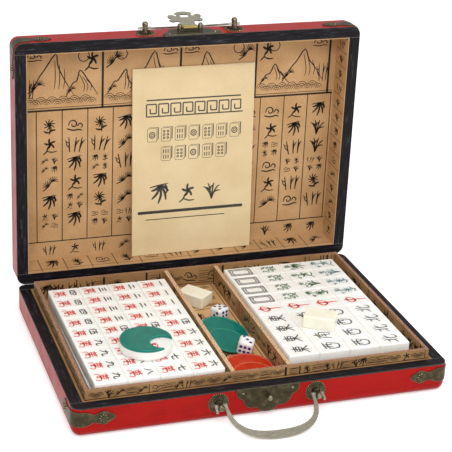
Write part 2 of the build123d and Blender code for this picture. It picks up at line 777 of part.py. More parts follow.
with BuildPart() as hasp_pin:
    with BuildSketch(Plane.YZ):
        with Locations((HASP_PIVOT.Y, HASP_PIVOT.Z)):
            Circle(HASP_PIN_R)
    extrude(amount=HASP_POST_X + HASP_POST_R, both=True)
save(hasp_pin.part, "hasp_pin")

FLAP_ARCS = (
    ((BARREL_HALF_L / FLAP_HALF_W, 0.32), (0.5, 0.39), (0.73, 0.37)),
    ((0.73, 0.37), (0.92, 0.4), (1.0, 0.49)),
    ((1.0, 0.49), (0.89, 0.54), (0.87, 0.61)),
    ((0.87, 0.61), (0.97, 0.65), (0.99, 0.73)),
    ((0.99, 0.73), (0.91, 0.8), (0.75, 0.81)),
    ((0.75, 0.81), (0.63, 0.78), (0.56, 0.72)),
    ((0.56, 0.72), (0.46, 0.74), (0.43, 0.8)),
    ((0.43, 0.8), (0.46, 0.86), (0.53, 0.89)),
    ((0.53, 0.89), (0.28, 0.975), (0, 1.0)),
)


def flap_point(share):
    """A point of the flap's half outline from its shares of the half width and the reach."""
    return (share[0] * FLAP_HALF_W, share[1] * FLAP_REACH)


FLAP_WAY = LID_FRONT.z_dir * cos(radians(FLAP_ANGLE)) - LID_FRONT.y_dir * sin(radians(FLAP_ANGLE))
FLAP_FLAT = Plane(
    origin=HASP_PIVOT, x_dir=LID_FRONT.x_dir, z_dir=LID_FRONT.x_dir.cross(FLAP_WAY)
)
SLOT_REACH = HASP_DEPTH + SEAM + STUD_DEPTH
with BuildPart() as hasp_flap:
    with BuildSketch(FLAP_FLAT.offset(-FLAP_T / 2)):
        with BuildLine():
            Line((0, 0), (BARREL_HALF_L, 0))
            Line((BARREL_HALF_L, 0), (BARREL_HALF_L, 0.32 * FLAP_REACH))
            for start, middle, end in FLAP_ARCS:
                ThreePointArc(flap_point(start), flap_point(middle), flap_point(end))
            mirror(about=Plane.YZ)
        make_face()
        with Locations((0, SLOT_REACH)):
            RectangleRounded(SLOT_W, SLOT_L, SLOT_L / 4, mode=Mode.SUBTRACT)
    extrude(amount=FLAP_T)
    with BuildSketch(Plane.YZ):
        with Locations((HASP_PIVOT.Y, HASP_PIVOT.Z)):
            Circle(BARREL_R)
    extrude(amount=BARREL_HALF_L, both=True)
    with BuildSketch(Plane.YZ):
        with Locations((HASP_PIVOT.Y, HASP_PIVOT.Z)):
            Circle(HASP_PIN_R + PIN_CLEAR)
    extrude(amount=BARREL_HALF_L, both=True, mode=Mode.SUBTRACT)
save(hasp_flap.part, "hasp_flap")

# ---- bearers under the tray ----
with BuildPart() as tray_bearers:
    with BuildSketch(Plane.XY.offset(BASE_FLOOR_Z)):
        Rectangle(CAVITY_W - 2 * BASE_LINING_T, CAVITY_D - 2 * BASE_LINING_T)
        inside = 2 * (BASE_LINING_T + BEARER_W)
        Rectangle(CAVITY_W - inside, CAVITY_D - inside, mode=Mode.SUBTRACT)
        bearer_joint_y = CAVITY_D / 2 - BASE_LINING_T - BEARER_W + JOINT_GAP / 2
        with Locations((0, bearer_joint_y), (0, -bearer_joint_y)):
            Rectangle(CAVITY_W, JOINT_GAP, mode=Mode.SUBTRACT)
    extrude(amount=TRAY_SEAT_Z - BASE_FLOOR_Z)
save(tray_bearers.part, "tray_bearers")

# ---- tray ----
with BuildPart() as tray_walls:
    with BuildSketch(Plane.XY.offset(TRAY_BOTTOM_Z)):
        Rectangle(TRAY_W, TRAY_D)
        Rectangle(TRAY_W - 2 * TRAY_WALL_T, TRAY_D - 2 * TRAY_WALL_T, mode=Mode.SUBTRACT)
    extrude(amount=TRAY_TOP_Z - TRAY_BOTTOM_Z)
save(tray_walls.part, "tray_walls")

with BuildPart() as tray_floor:
    with BuildSketch(Plane.XY.offset(TRAY_BOTTOM_Z)):
        Rectangle(TRAY_W - 2 * TRAY_WALL_T, TRAY_D - 2 * TRAY_WALL_T)
    extrude(amount=TRAY_FLOOR_T)
save(tray_floor.part, "tray_floor")

for divider_name, divider_x in (("tray_divider_left", -DIVIDER_X), ("tray_divider_right", DIVIDER_X)):
    with BuildPart() as divider:
        with BuildSketch(Plane.XY.offset(TRAY_FLOOR_Z)):
            with Locations((divider_x, 0)):
                Rectangle(DIVIDER_T, TRAY_D - 2 * TRAY_WALL_T)
        extrude(amount=DIVIDER_TOP_Z - TRAY_FLOOR_Z)
    save(divider.part, divider_name)

# ---- tiles ----
for block_name, block_at, turn, shift in (
    ("left", LEFT_BLOCK_AT, LEFT_BLOCK_TURN, LOWER_LAYER_SHIFT),
    ("right", RIGHT_BLOCK_AT, 0, 0),
):
    lower_at = (block_at[0] + shift, block_at[1])
    save(tile_layer(lower_at, 0, TILE_Z), f"{block_name}_lower_tiles")
    save(tile_layer(block_at, turn, TILE_Z + TILE_T), f"{block_name}_upper_tiles")

LOOSE_TILE_X = RIGHT_BLOCK_AT[0] + LOOSE_TILE_SHIFT_X
LOOSE_TILE_Y = RIGHT_BLOCK_AT[1] - LOOSE_TILE_ROWS * TILE_PITCH_Y
FIRST_DIE_BACK_Y = FIRST_DIE_Y - BAY_D / 2 + DIE_SIZE / sqrt(2)
SPARE_TILE_Y = (FIRST_DIE_BACK_Y + BAY_D / 2) / 2 + SPARE_TILE_SHIFT_Y
for tile_name, tile_at, turn, height in (
    ("loose_tile", (LOOSE_TILE_X, LOOSE_TILE_Y), LOOSE_TILE_TURN, TILE_TOP_Z),
    ("spare_tile", (SPARE_TILE_X, SPARE_TILE_Y), SPARE_TILE_TURN, TRAY_FLOOR_Z + SEAT_GAP),
):
    one_tile = tile_solid()
    with BuildPart() as single_tile:
        with Locations(Location((tile_at[0], tile_at[1], height), (0, 0, turn))):
            add(one_tile)
    save(single_tile.part, tile_name)

# ---- wind indicator ----
INDICATOR_X = LEFT_BLOCK_AT[0] + INDICATOR_SHIFT_X
INDICATOR_Y = LEFT_BLOCK_AT[1] - INDICATOR_ROWS * TILE_PITCH_Y
INDICATOR = Plane(origin=(INDICATOR_X, INDICATOR_Y, TILE_TOP_Z))
with BuildPart() as indicator_cup:
    with BuildSketch(INDICATOR):
        Circle(INDICATOR_R)
    extrude(amount=CUP_T)
    fillet(indicator_cup.faces().sort_by(Axis.Z)[0].edges(), CUP_T / 4)
    with BuildSketch(INDICATOR.offset(CUP_T)):
        Circle(STEM_R + STEM_CLEAR)
    extrude(amount=-(STEM_L + TOP_GAP), mode=Mode.SUBTRACT)
save(indicator_cup.part, "indicator_cup")

with BuildPart() as indicator_top:
    with BuildSketch(INDICATOR.offset(CUP_T + TOP_GAP)):
        Circle(INDICATOR_R)
        with Locations((WINDOW_X, WINDOW_Y)):
            Circle(WINDOW_R, mode=Mode.SUBTRACT)
    extrude(amount=TOP_T)
    fillet(indicator_top.faces().sort_by(Axis.Z)[-1].edges(), TOP_EDGE_R)
    with BuildSketch(INDICATOR.offset(CUP_T + TOP_GAP)):
        Circle(STEM_R)
    extrude(amount=-STEM_L)
save(indicator_top.part, "indicator_top")

# ---- discs and dice in the middle of the tray ----
save(
    lying_disc(GREEN_DISC_X, GREEN_DISC_Y, GREEN_DISC_Z, GREEN_SLOPE, DISC_R), "green_disc"
)
save(
    lying_disc(GREEN_COUNTER_X, GREEN_COUNTER_Y, GREEN_COUNTER_Z, GREEN_SLOPE, COUNTER_R),
    "green_counter",
)
save(lying_disc(RED_DISC_X, RED_DISC_Y, RED_DISC_Z, RED_SLOPE, DISC_R), "red_disc")
save(lying_disc(RED_COUNTER_X, RED_COUNTER_Y, RED_COUNTER_Z, RED_SLOPE, COUNTER_R), "red_counter")

FIRST_DIE = Location(
    MIDDLE_FRONT.from_local_coords(Vector(FIRST_DIE_X, FIRST_DIE_Y, SEAT_GAP)),
    (0, 0, FIRST_DIE_TURN),
)
SECOND_DIE = Plane(
    origin=MIDDLE_FRONT.from_local_coords(Vector(SECOND_DIE_X, SECOND_DIE_Y, SECOND_DIE_Z)),
    x_dir=SECOND_DIE_WAY,
    z_dir=SECOND_DIE_UP,
)
with BuildPart() as dice:
    with Locations(FIRST_DIE, SECOND_DIE.location):
        Box(DIE_SIZE, DIE_SIZE, DIE_SIZE, align=(Align.CENTER, Align.CENTER, Align.MIN))
    fillet(dice.edges(), DIE_R)
save(dice.part, "dice")

# ---- booklet leaning in the lid ----
BOOKLET_Z = BASE_H + RIM_W + LID_LINING_T + SEAM + BOOKLET_T * sin(radians(BOOKLET_LEAN))
BOOKLET = Plane(
    origin=(BOOKLET_X, CASE_D / 2 + BOOKLET_FOOT, BOOKLET_Z),
    x_dir=(1, 0, 0),
    z_dir=(0, -cos(radians(BOOKLET_LEAN)), sin(radians(BOOKLET_LEAN))),
)
with BuildPart() as booklet:
    with BuildSketch(BOOKLET):
        with Locations((0, BOOKLET_H / 2)):
            Rectangle(BOOKLET_W, BOOKLET_H)
    extrude(amount=-BOOKLET_T)
save(booklet.part, "booklet")
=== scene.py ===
import math
import random
import bpy
from mathutils import Matrix, Vector


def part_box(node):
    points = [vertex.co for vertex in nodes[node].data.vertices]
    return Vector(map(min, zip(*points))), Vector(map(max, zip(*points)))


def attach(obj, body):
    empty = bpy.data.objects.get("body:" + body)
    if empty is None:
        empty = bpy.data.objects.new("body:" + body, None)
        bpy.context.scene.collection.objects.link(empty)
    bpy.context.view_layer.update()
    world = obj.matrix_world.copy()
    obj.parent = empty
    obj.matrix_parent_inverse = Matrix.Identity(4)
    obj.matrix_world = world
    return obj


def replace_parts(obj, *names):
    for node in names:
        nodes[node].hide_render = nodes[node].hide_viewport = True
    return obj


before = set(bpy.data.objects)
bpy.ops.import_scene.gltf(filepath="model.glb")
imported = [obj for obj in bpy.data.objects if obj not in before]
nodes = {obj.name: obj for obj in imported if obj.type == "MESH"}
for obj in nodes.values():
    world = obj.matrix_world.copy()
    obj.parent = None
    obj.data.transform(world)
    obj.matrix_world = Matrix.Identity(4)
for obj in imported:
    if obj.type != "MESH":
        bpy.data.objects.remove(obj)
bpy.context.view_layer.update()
MM = 0.001


# ---- wooden shells ----
# The base and the lid are shallow boxes of thin poplar, butt-jointed and glued, with a
# board let into the walls. Only their edges could ever be seen, inside the covering.


def linear(hex_colour):
    """An sRGB hex value as the linear colour that a shader takes."""
    channels = [int(hex_colour[i : i + 2], 16) / 255 for i in (1, 3, 5)]
    bent = [c / 12.92 if c <= 0.04045 else ((c + 0.055) / 1.055) ** 2.4 for c in channels]
    return (*bent, 1.0)


def set_inputs(node, inputs):
    """Gives a node's sockets plain values, or links from sockets or nodes' first outputs."""
    for socket, value in inputs.items():
        if isinstance(value, bpy.types.Node):
            value = value.outputs[0]
        if isinstance(value, bpy.types.NodeSocket):
            node.id_data.links.new(value, node.inputs[socket])
        else:
            node.inputs[socket].default_value = value


def add_node(tree, kind, inputs=None, stops=(), **settings):
    """A shader node with its settings and inputs; a ramp's stops are (place, hex colour)."""
    made = tree.nodes.new("ShaderNode" + kind)
    for name, value in settings.items():
        setattr(made, name, value)
    set_inputs(made, inputs or {})
    if stops:
        elements = made.color_ramp.elements
        while len(elements) < len(stops):
            elements.new(1.0)
        for element, (place, colour) in zip(elements, stops):
            element.position = place
            element.color = linear(colour)
    return made


def new_material(name):
    """A node material: itself, its tree, its surface and the place its patterns start from."""
    made = bpy.data.materials.new(name)
    made.use_nodes = True
    tree = made.node_tree
    tree.nodes.clear()
    surface = add_node(tree, "BsdfPrincipled")
    add_node(tree, "OutputMaterial", {"Surface": surface})
    return made, tree, surface, add_node(tree, "TexCoord").outputs["Object"]


def mottled(tree, place, size, detail, stops, stretch=None, roughness=0.5):
    """Noise in patches of a size, drawn out where stretch is small, and its tone by stops."""
    if stretch:
        place = add_node(tree, "Mapping", {"Vector": place, "Scale": stretch})
    inputs = {"Vector": place, "Scale": 1 / size, "Detail": detail, "Roughness": roughness}
    noise = add_node(tree, "TexNoise", inputs)
    return noise, add_node(tree, "ValToRGB", {"Fac": noise}, stops)


def finish_nodes(material, *names):
    """Puts one material on carried-over CAD nodes."""
    for name in names:
        slots = nodes[name].material_slots
        for slot in slots:
            slot.material = material
        if not slots:
            nodes[name].data.materials.append(material)


POPLAR_GRAIN = 1.2 * MM

# Rotary-cut poplar, planed and unfinished: pale, with soft brown streaks along X.
poplar, tree, surface, place = new_material("planed_poplar")
stops = ((0.3, "#b08a5c"), (0.7, "#d9bb8e"))
grain, tone = mottled(tree, place, POPLAR_GRAIN, 4.0, stops, (0.06, 1.0, 1.0))
ridge = add_node(tree, "Bump", {"Height": grain, "Distance": 0.05 * MM, "Strength": 0.5})
set_inputs(surface, {"Base Color": tone, "Normal": ridge, "Roughness": 0.7})
finish_nodes(poplar, "base_walls", "base_board", "lid_walls", "lid_board", "tray_bearers")


# ---- leatherette covering ----
# Red embossed vinyl leathercloth, glued round the walls of both shells and turned in
# under the board, where a separate sheet covers the flat.

LEATHER_CELL = 0.7 * MM
SCUFF = 16.0 * MM
COVER_LINE = 1.1 * MM

# PVC leathercloth with a fine calendered grain: a full red with a soft sheen, faint lines
# along the case where it was pulled tight, and duller where it has been handled.
leatherette, tree, surface, place = new_material("embossed_vinyl_leathercloth")
cells = add_node(tree, "TexVoronoi", {"Vector": place, "Scale": 1 / LEATHER_CELL}, feature="SMOOTH_F1")
scuffs = add_node(tree, "TexNoise", {"Vector": place, "Scale": 1 / SCUFF, "Detail": 5.0})
pulled = add_node(tree, "Mapping", {"Vector": place, "Scale": (0.04, 1.0, 1.0)})
lines = add_node(tree, "TexNoise", {"Vector": pulled, "Scale": 1 / COVER_LINE, "Detail": 3.0})
both = add_node(tree, "Math", {0: scuffs, 1: lines}, operation="ADD")
tone = add_node(tree, "ValToRGB", {"Fac": both}, ((0.7, "#970a05"), (1.0, "#ab1009")))
# Darker in the grain's valleys: painted shade.
grain_valley_shade = add_node(tree, "ValToRGB", {"Fac": cells}, ((0.15, "#ffffff"), (0.75, "#e6e6e6")))
colour = add_node(tree, "MixRGB", {"Fac": 1.0, "Color1": tone, "Color2": grain_valley_shade}, blend_type="MULTIPLY")
ends = {"From Min": 0.3, "From Max": 0.7, "To Min": 0.28, "To Max": 0.4}
dull = add_node(tree, "MapRange", {"Value": scuffs, **ends})
emboss = add_node(tree, "Bump", {"Height": cells, "Distance": 0.04 * MM, "Strength": 0.25}, invert=True)
set_inputs(
    surface, {"Base Color": colour, "Roughness": dull, "Normal": emboss, "Specular IOR Level": 0.13}
)
for shell in ("base", "lid"):
    finish_nodes(leatherette, f"{shell}_side_covering", f"{shell}_board_covering")


# ---- black rims ----
# Flat black strips cover the edges of both shells: one along the front, one along the
# hinge side, and one between them at each end, glued down and lightly grained.

RIM_GRAIN = 0.6 * MM
RIM_STREAK = 1.4 * MM


def edge_wear_and_highlight(tree, tone, radius, most, paler_tone):
    """A tone that turns to a paler colour along sharp edges, by most at the very edge: a painted
    highlight where an edge would catch the light, and on brass also wear.
    """
    rounded = add_node(tree, "Bevel", {"Radius": radius}, samples=4)
    flat = add_node(tree, "NewGeometry").outputs["Normal"]
    agree = add_node(tree, "VectorMath", {0: rounded, 1: flat}, operation="DOT_PRODUCT")
    ends = {"From Min": 0.99, "From Max": 0.8, "To Min": 0.0, "To Max": most}
    edge = add_node(tree, "MapRange", {"Value": agree.outputs["Value"], **ends})
    return add_node(tree, "MixRGB", {"Fac": edge, "Color1": tone, "Color2": linear(paler_tone)})


def vinyl_strip(name, stretch):
    """Charcoal vinyl strip; stretch draws its rubbed streaks out along the strip."""
    made, tree, surface, place = new_material(name)
    cells = add_node(tree, "TexVoronoi", {"Vector": place, "Scale": 1 / RIM_GRAIN}, feature="SMOOTH_F1")
    stops = ((0.38, "#0d0b0f"), (0.57, "#1c191d"), (0.78, "#54545d"))
    tone = mottled(tree, place, RIM_STREAK, 6.0, stops, stretch, 0.65)[1]
    emboss = add_node(
        tree, "Bump", {"Height": cells, "Distance": 0.05 * MM, "Strength": 0.5}, invert=True
    )
    # The pale line along the strip's edges is a painted highlight.
    colour = edge_wear_and_highlight(tree, tone, 0.5 * MM, 0.75, "#8a7c78")
    set_inputs(
        surface, {"Base Color": colour, "Roughness": 0.55, "Normal": emboss, "Specular IOR Level": 0.14}
    )
    return made


# Black vinyl with a fine leather grain: charcoal rather than black, with grey streaks
# where the grain is rubbed, and a pale line along a strip's edges that is a painted highlight.
long_vinyl = vinyl_strip("grained_black_vinyl_long", (0.1, 1.0, 1.0))
base_end_vinyl = vinyl_strip("grained_black_vinyl_base_ends", (1.0, 0.1, 1.0))
lid_end_vinyl = vinyl_strip("grained_black_vinyl_lid_ends", (1.0, 1.0, 0.1))
finish_nodes(long_vinyl, "base_rim_front", "base_rim_back", "lid_rim_front", "lid_rim_back")
finish_nodes(base_end_vinyl, "base_rim_sides")
finish_nodes(lid_end_vinyl, "lid_rim_sides")


# ---- printed linings ----
# Tan kraft paper, printed in dark brown with ruled columns and brushed plant motifs, is
# pasted over board inside the lid, round the walls of the base and on the tray.

PAPER_FIBRE = 0.5 * MM
PAPER_STAIN = 26.0 * MM


def printed_paper(name, light, dark, roughness, edge=None):
    """Kraft paper of two tones with fibres and stains; edge is its colour on the tops that face up."""
    made, tree, surface, place = new_material(name)
    stains = add_node(tree, "TexNoise", {"Vector": place, "Scale": 1 / PAPER_STAIN, "Detail": 4.0})
    fibres = add_node(tree, "TexNoise", {"Vector": place, "Scale": 1 / PAPER_FIBRE, "Detail": 3.0})
    both = add_node(tree, "Math", {0: stains, 1: fibres}, operation="ADD")
    half = add_node(tree, "Math", {0: both, 1: 0.5}, operation="MULTIPLY")
    tone = add_node(tree, "ValToRGB", {"Fac": half}, ((0.36, dark), (0.62, light)))
    if edge:
        # Faces that point up take the edge colour: on the dividers a painted highlight of their lit
        # tops.
        normal = add_node(tree, "TexCoord").outputs["Normal"]
        facing = add_node(tree, "SeparateXYZ", {"Vector": normal}).outputs["Z"]
        ends = {"From Min": 0.7, "From Max": 0.95, "To Max": 0.85}
        on_top = add_node(tree, "MapRange", {"Value": facing, **ends})
        tone = add_node(tree, "MixRGB", {"Fac": on_top, "Color1": tone, "Color2": linear(edge)})
    tooth = add_node(tree, "Bump", {"Height": fibres, "Distance": 0.04 * MM, "Strength": 0.4})
    set_inputs(
        surface,
        {"Base Color": tone, "Normal": tooth, "Roughness": roughness, "Specular IOR Level": 0.3},
    )
    return made


# Kraft paper pasted smooth on flat board: a matt warm tan, blotched by the paste.
kraft = printed_paper("pasted_kraft_paper", "#cba376", "#b1885a", 0.75)
finish_nodes(kraft, "lid_floor_lining", "lid_wall_lining")

# The same paper on the tray's floor, a little yellower and lighter: painted light that lifts the floor
# shaded by the tray's walls and dividers.
floor_kraft_painted_light = printed_paper("pasted_kraft_paper_floor_painted_light", "#e0b783", "#c89d68", 0.75)
finish_nodes(floor_kraft_painted_light, "tray_floor")

# The same paper on the tray's board: browner, and rubbed to a dull pink along its top edges.
kraft_board = printed_paper("pasted_kraft_board", "#ae875a", "#82603b", 0.7, "#a37860")
finish_nodes(kraft_board, "tray_walls")

# The same board in the dividers, whose tops are painted paler: a painted highlight on the tops lit from
# above.
divider_board = printed_paper("pasted_kraft_board_dividers", "#b89263", "#8b6841", 0.7, "#ddb894")
finish_nodes(divider_board, "tray_divider_left", "tray_divider_right")

# The same paper inside the base, darker all over: painted shade for the narrow gap under the rim where
# it is seen.
base_board = printed_paper("pasted_kraft_board_base_painted_shade", "#ad814c", "#7f5932", 0.75)
finish_nodes(base_board, "base_wall_lining", "base_floor_lining")

# Printing ink on kraft: a dark brown, matt and thin, greyer where the paper took less.
ink, tree, surface, place = new_material("printing_ink_on_kraft")
tone = mottled(tree, place, 1.5 * MM, 4.0, ((0.45, "#17120f"), (0.8, "#463526")))[1]
set_inputs(surface, {"Base Color": tone, "Roughness": 0.7, "Specular IOR Level": 0.25})

INK_T = 0.04 * MM


def smooth(points):
    """Points on a smooth line through the given ones, three to a span."""
    padded = [points[0], *points, points[-1]]
    line = []
    for p, a, b, q in zip(padded, padded[1:], padded[2:], padded[3:]):
        for t in (0.0, 1 / 3, 2 / 3):
            place = []
            for i in (0, 1):
                square = 2 * p[i] - 5 * a[i] + 4 * b[i] - q[i]
                cube = 3 * (a[i] - b[i]) + q[i] - p[i]
                place.append(a[i] + (b[i] - p[i] + (square + cube * t) * t) * t / 2)
            line.append(tuple(place))
    line.append(points[-1])
    return line


def outline_of(line, widths):
    """Closed outline round a line, anticlockwise, from its width at each point."""
    left = []
    right = []
    last = len(line) - 1
    for index, ((x, y), width) in enumerate(zip(line, widths)):
        before = line[max(index - 1, 0)]
        after = line[min(index + 1, last)]
        along = Vector((after[0] - before[0], after[1] - before[1])).normalized() * (width / 2)
        left.append((x - along.y, y + along.x))
        right.append((x + along.y, y - along.x))
    return right + left[::-1]


def brushed(points, width):
    """A brush stroke through points: full where it is set down, and tapered away."""
    line = smooth(points)
    last = len(line) - 1
    widths = [width * math.sin(math.pi * (0.16 + 0.76 * i / last)) ** 0.6 for i in range(last + 1)]
    return outline_of(line, widths)


def ruled(x0, y0, x1, y1, width, pieces=1):
    """A ruled line, cut into pieces where the surface is curved."""
    line = [(x0 + (x1 - x0) * i / pieces, y0 + (y1 - y0) * i / pieces) for i in range(pieces + 1)]
    return outline_of(line, [width] * (pieces + 1))


def arc(x, y, radius, first, step, count):
    """Points round a centre, from a turn in degrees on by steps."""
    turns = [math.radians(first + step * i) for i in range(count)]
    return [(x + radius * math.cos(t), y + radius * math.sin(t)) for t in turns]


def leaf(x, y, turn, length, width):
    """A pointed leaf from its base, turned from +X in degrees and bowed to its left."""
    way = Vector((math.cos(math.radians(turn)), math.sin(math.radians(turn))))
    tip = (x + way.x * length, y + way.y * length)
    bow = 0.12 * length
    middle = ((x + tip[0]) / 2 - way.y * bow, (y + tip[1]) / 2 + way.x * bow)
    return brushed([(x, y), middle, tip], width)


def moved(strokes, x, y, turn=0.0):
    """Strokes turned by degrees and set down at a place."""
    c = math.cos(math.radians(turn))
    s = math.sin(math.radians(turn))
    return [[(x + c * px - s * py, y + s * px + c * py) for px, py in stroke] for stroke in strokes]


def drawn(picture, wide, tall, x, y, turn=0.0):
    """A picture of about one by one, drawn at a size and a place and turned by degrees."""
    strokes = [[(px * wide, py * tall) for px, py in stroke] for stroke in picture()]
    return moved(strokes, x, y, turn)


def bamboo():
    """A hanging spray of bamboo leaves on a twig."""
    strokes = [brushed([(-0.5, 0.34), (-0.1, 0.42), (0.44, 0.5)], 0.07)]
    for turn, length in ((-150, 0.5), (-122, 0.78), (-95, 0.9), (-66, 0.8), (-34, 0.55)):
        strokes.append(leaf(0.0, 0.42, turn, length, 0.13))
    strokes.append(leaf(0.28, 0.46, -80, 0.45, 0.1))
    return strokes


def plum():
    """A plum blossom of five petals on a crooked twig."""
    strokes = [brushed([(-0.45, -0.5), (-0.2, -0.3), (-0.12, -0.1), (0.02, 0.05)], 0.09)]
    strokes.append(brushed([(-0.2, -0.3), (0.12, -0.42), (0.45, -0.4)], 0.08))
    for petal in range(5):
        strokes.append(leaf(0.06, 0.14, 90 + 72 * petal, 0.38, 0.14))
    return strokes


def orchid():
    """Orchid leaves fanning from one root, with a small flower."""
    strokes = []
    for reach, rise in ((-0.5, 0.3), (-0.24, 0.5), (0.14, 0.5), (0.48, 0.34), (0.5, 0.02)):
        blade = [(0, -0.5), (reach * 0.25, -0.1), (reach * 0.7, rise * 0.8), (reach, rise)]
        strokes.append(brushed(blade, 0.09))
    strokes.append(leaf(-0.1, 0.1, 60, 0.3, 0.11))
    strokes.append(leaf(-0.1, 0.1, 140, 0.26, 0.14))
    return strokes


def daisy():
    """A chrysanthemum head with a stem and two leaves."""
    strokes = [brushed([(0.02, -0.5), (0.06, -0.25), (0.0, 0.1)], 0.09)]
    for petal in range(9):
        strokes.append(leaf(0.0, 0.16, 40 * petal + 10, 0.38, 0.08))
    strokes.append(leaf(0.04, -0.32, 20, 0.4, 0.13))
    strokes.append(leaf(0.04, -0.36, 165, 0.4, 0.12))
    return strokes


def cloud():
    """A curled cloud drawn with three strokes."""
    curl = []
    for step in range(8):
        turn = math.radians(200 - 60 * step)
        radius = 0.32 * (1 - step / 9)
        curl.append((-0.12 + radius * math.cos(turn), 0.08 + radius * math.sin(turn)))
    strokes = [brushed(curl, 0.09)]
    strokes.append(brushed([(-0.5, -0.24), (-0.1, -0.32), (0.3, -0.24), (0.52, -0.3)], 0.1))
    strokes.append(brushed([(0.14, -0.04), (0.3, 0.18), (0.48, 0.04), (0.4, -0.12)], 0.09))
    return strokes


def pine():
    """A pine twig with two fans of needles."""
    strokes = [brushed([(-0.5, -0.4), (-0.1, -0.16), (0.1, 0.1), (0.44, 0.2)], 0.09)]
    for root, middle in (((-0.1, -0.12), 110), ((0.24, 0.12), 60)):
        for step in range(-3, 4):
            strokes.append(leaf(*root, middle + 24 * step, 0.38, 0.05))
    return strokes


def reeds():
    """Three reeds with bent leaves."""
    strokes = []
    for foot, bend in ((-0.32, -0.1), (0.0, 0.06), (0.3, 0.14)):
        strokes.append(brushed([(foot, -0.5), (foot + bend / 2, 0.0), (foot + bend, 0.5)], 0.09))
        strokes.append(leaf(foot + bend / 2, -0.2, 64 if bend > 0 else 118, 0.46, 0.07))
        strokes.append(leaf(foot + bend * 0.7, 0.1, 38 if bend > 0 else 140, 0.34, 0.06))
    return strokes


MOTIFS = (bamboo, plum, orchid, daisy, cloud, pine, reeds)


def make_piece(name, corners, faces, body, slot_name, *materials):
    """A mesh that rides a body, of the materials given; slot_name is not used."""
    mesh = bpy.data.meshes.new(name)
    mesh.from_pydata(corners, [], faces)
    mesh.update()
    for material in materials:
        mesh.materials.append(material)
    piece = bpy.data.objects.new(name, mesh)
    bpy.context.scene.collection.objects.link(piece)
    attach(piece, body)
    return piece


def print_on(
    name, body, slot_name, material, origin, strokes,
    across=(1, 0, 0), up=(0, 1, 0), thickness=INK_T, bend=None,
):
    """Strokes in millimetres as one thin closed mesh on a surface; bend is its rise at x, y."""
    across = Vector(across).normalized()
    up = Vector(up).normalized()
    out = across.cross(up)
    origin = Vector(origin) * MM
    corners = []
    faces = []
    for stroke in strokes:
        start = len(corners)
        count = len(stroke)
        for level in (-1, 1):
            for x, y in stroke:
                rise = bend(x, y) * MM if bend else 0.0
                rise += level * thickness / 2
                corners.append(origin + (across * x + up * y) * MM + out * rise)
        top = start + count
        for i in range(count // 2 - 1):
            faces.append([top + i, top + i + 1, top + count - 2 - i, top + count - 1 - i])
            faces.append([start + count - 1 - i, start + count - 2 - i, start + i + 1, start + i])
        for i in range(count):
            after = (i + 1) % count
            faces.append([start + i, start + after, top + after, top + i])
    make_piece(name, corners, faces, body, slot_name, material)


def ring(x, y, radius, width):
    """A circle drawn with two brush strokes."""
    halves = [smooth(arc(x, y, radius, first, 45, 5)) for first in (0, 180)]
    return [outline_of(line, [width] * len(line)) for line in halves]


def waves(x0, x1, y, radius):
    """Two staggered rows of wave scallops between x0 and x1."""
    strokes = []
    for row in range(2):
        x = x0 + radius * (1 + row)
        while x + radius <= x1:
            for share in (1.0, 0.62, 0.28):
                strokes.append(brushed(arc(x, y - row * radius / 2, share * radius, 12, 39, 5), 0.55))
            x += 2 * radius
    return strokes


def peaks(rng, x, y, wide, tall):
    """A mountain with a ridge line, creases down its side and a tree on its foot."""
    top = x + rng.uniform(-0.1, 0.1) * wide
    ridge = [
        (x - wide / 2, y),
        (x - wide * 0.3, y + tall * rng.uniform(0.4, 0.5)),
        (x - wide * 0.16, y + tall * rng.uniform(0.55, 0.65)),
        (top, y + tall),
        (x + wide * 0.14, y + tall * rng.uniform(0.6, 0.75)),
        (x + wide * 0.28, y + tall * rng.uniform(0.35, 0.45)),
        (x + wide / 2, y),
    ]
    strokes = [brushed(ridge, 1.1)]
    for share in (-0.02, 0.08, 0.19):
        foot = x + share * wide + wide * 0.1
        head = (top + share * wide, y + tall * (0.82 - share))
        strokes.append(brushed([head, (foot, y + tall * 0.4), (foot - 1.0, y + tall * 0.16)], 0.7))
    return strokes + drawn(pine, tall * 0.36, tall * 0.36, x - wide * 0.36, y + tall * 0.24)


def motif(rng, wide, tall, x, y, lean=0.0):
    """A motif picked at random at its size and place, tilted by up to lean degrees."""
    picture = rng.choice(MOTIFS)
    return drawn(picture, wide, tall, x, y, rng.uniform(-lean, lean) if lean else 0.0)


def motif_column(rng, x, bottom, top, size, step):
    """Motifs stacked down a column, with here and there two rows of small pairs."""
    strokes = []
    y = top - step / 2
    since_pairs = 0
    while y > bottom + size / 3:
        if since_pairs >= 2 and rng.random() < 0.45:
            for small_y in (y + step * 0.22, y - step * 0.24):
                for small_x in (-size * 0.32, size * 0.32):
                    strokes += motif(rng, size * 0.46, size * 0.46, x + small_x, small_y, 8)
            since_pairs = 0
        else:
            strokes += motif(rng, size, size, x, y, 8)
            since_pairs += 1
        y -= step
    return strokes


def box_mm(node):
    """The low and high corners of a CAD node in millimetres."""
    return [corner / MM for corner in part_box(node)]


def middle_of(node):
    """The middle of a CAD node's box in millimetres."""
    low, high = box_mm(node)
    return (low + high) / 2


LINING_T = 0.5
PRINT_MARGIN = 0.9
RIM_MARGIN = 0.3
TOP_MARGIN = 1.2
lining_low, lining_high = box_mm("lid_wall_lining")
LID_RIM_Y = lining_low.y + RIM_MARGIN
LID_PANEL_Y = lining_high.y
LID_WALL_X = lining_high.x - LINING_T
LID_WALL_Z = lining_low.z + LINING_T
LID_X = LID_WALL_X - PRINT_MARGIN
LID_Z = (LID_WALL_Z + PRINT_MARGIN, lining_high.z - TOP_MARGIN)
FIRST_COLUMN = 11.0
COLUMN_W = 21.4
MOTIF_H = 13.0
MOTIF_STEP = 16.6
STRIP_H = 54.0
FOOT_H = 15.0
SCENE_W = 66.0

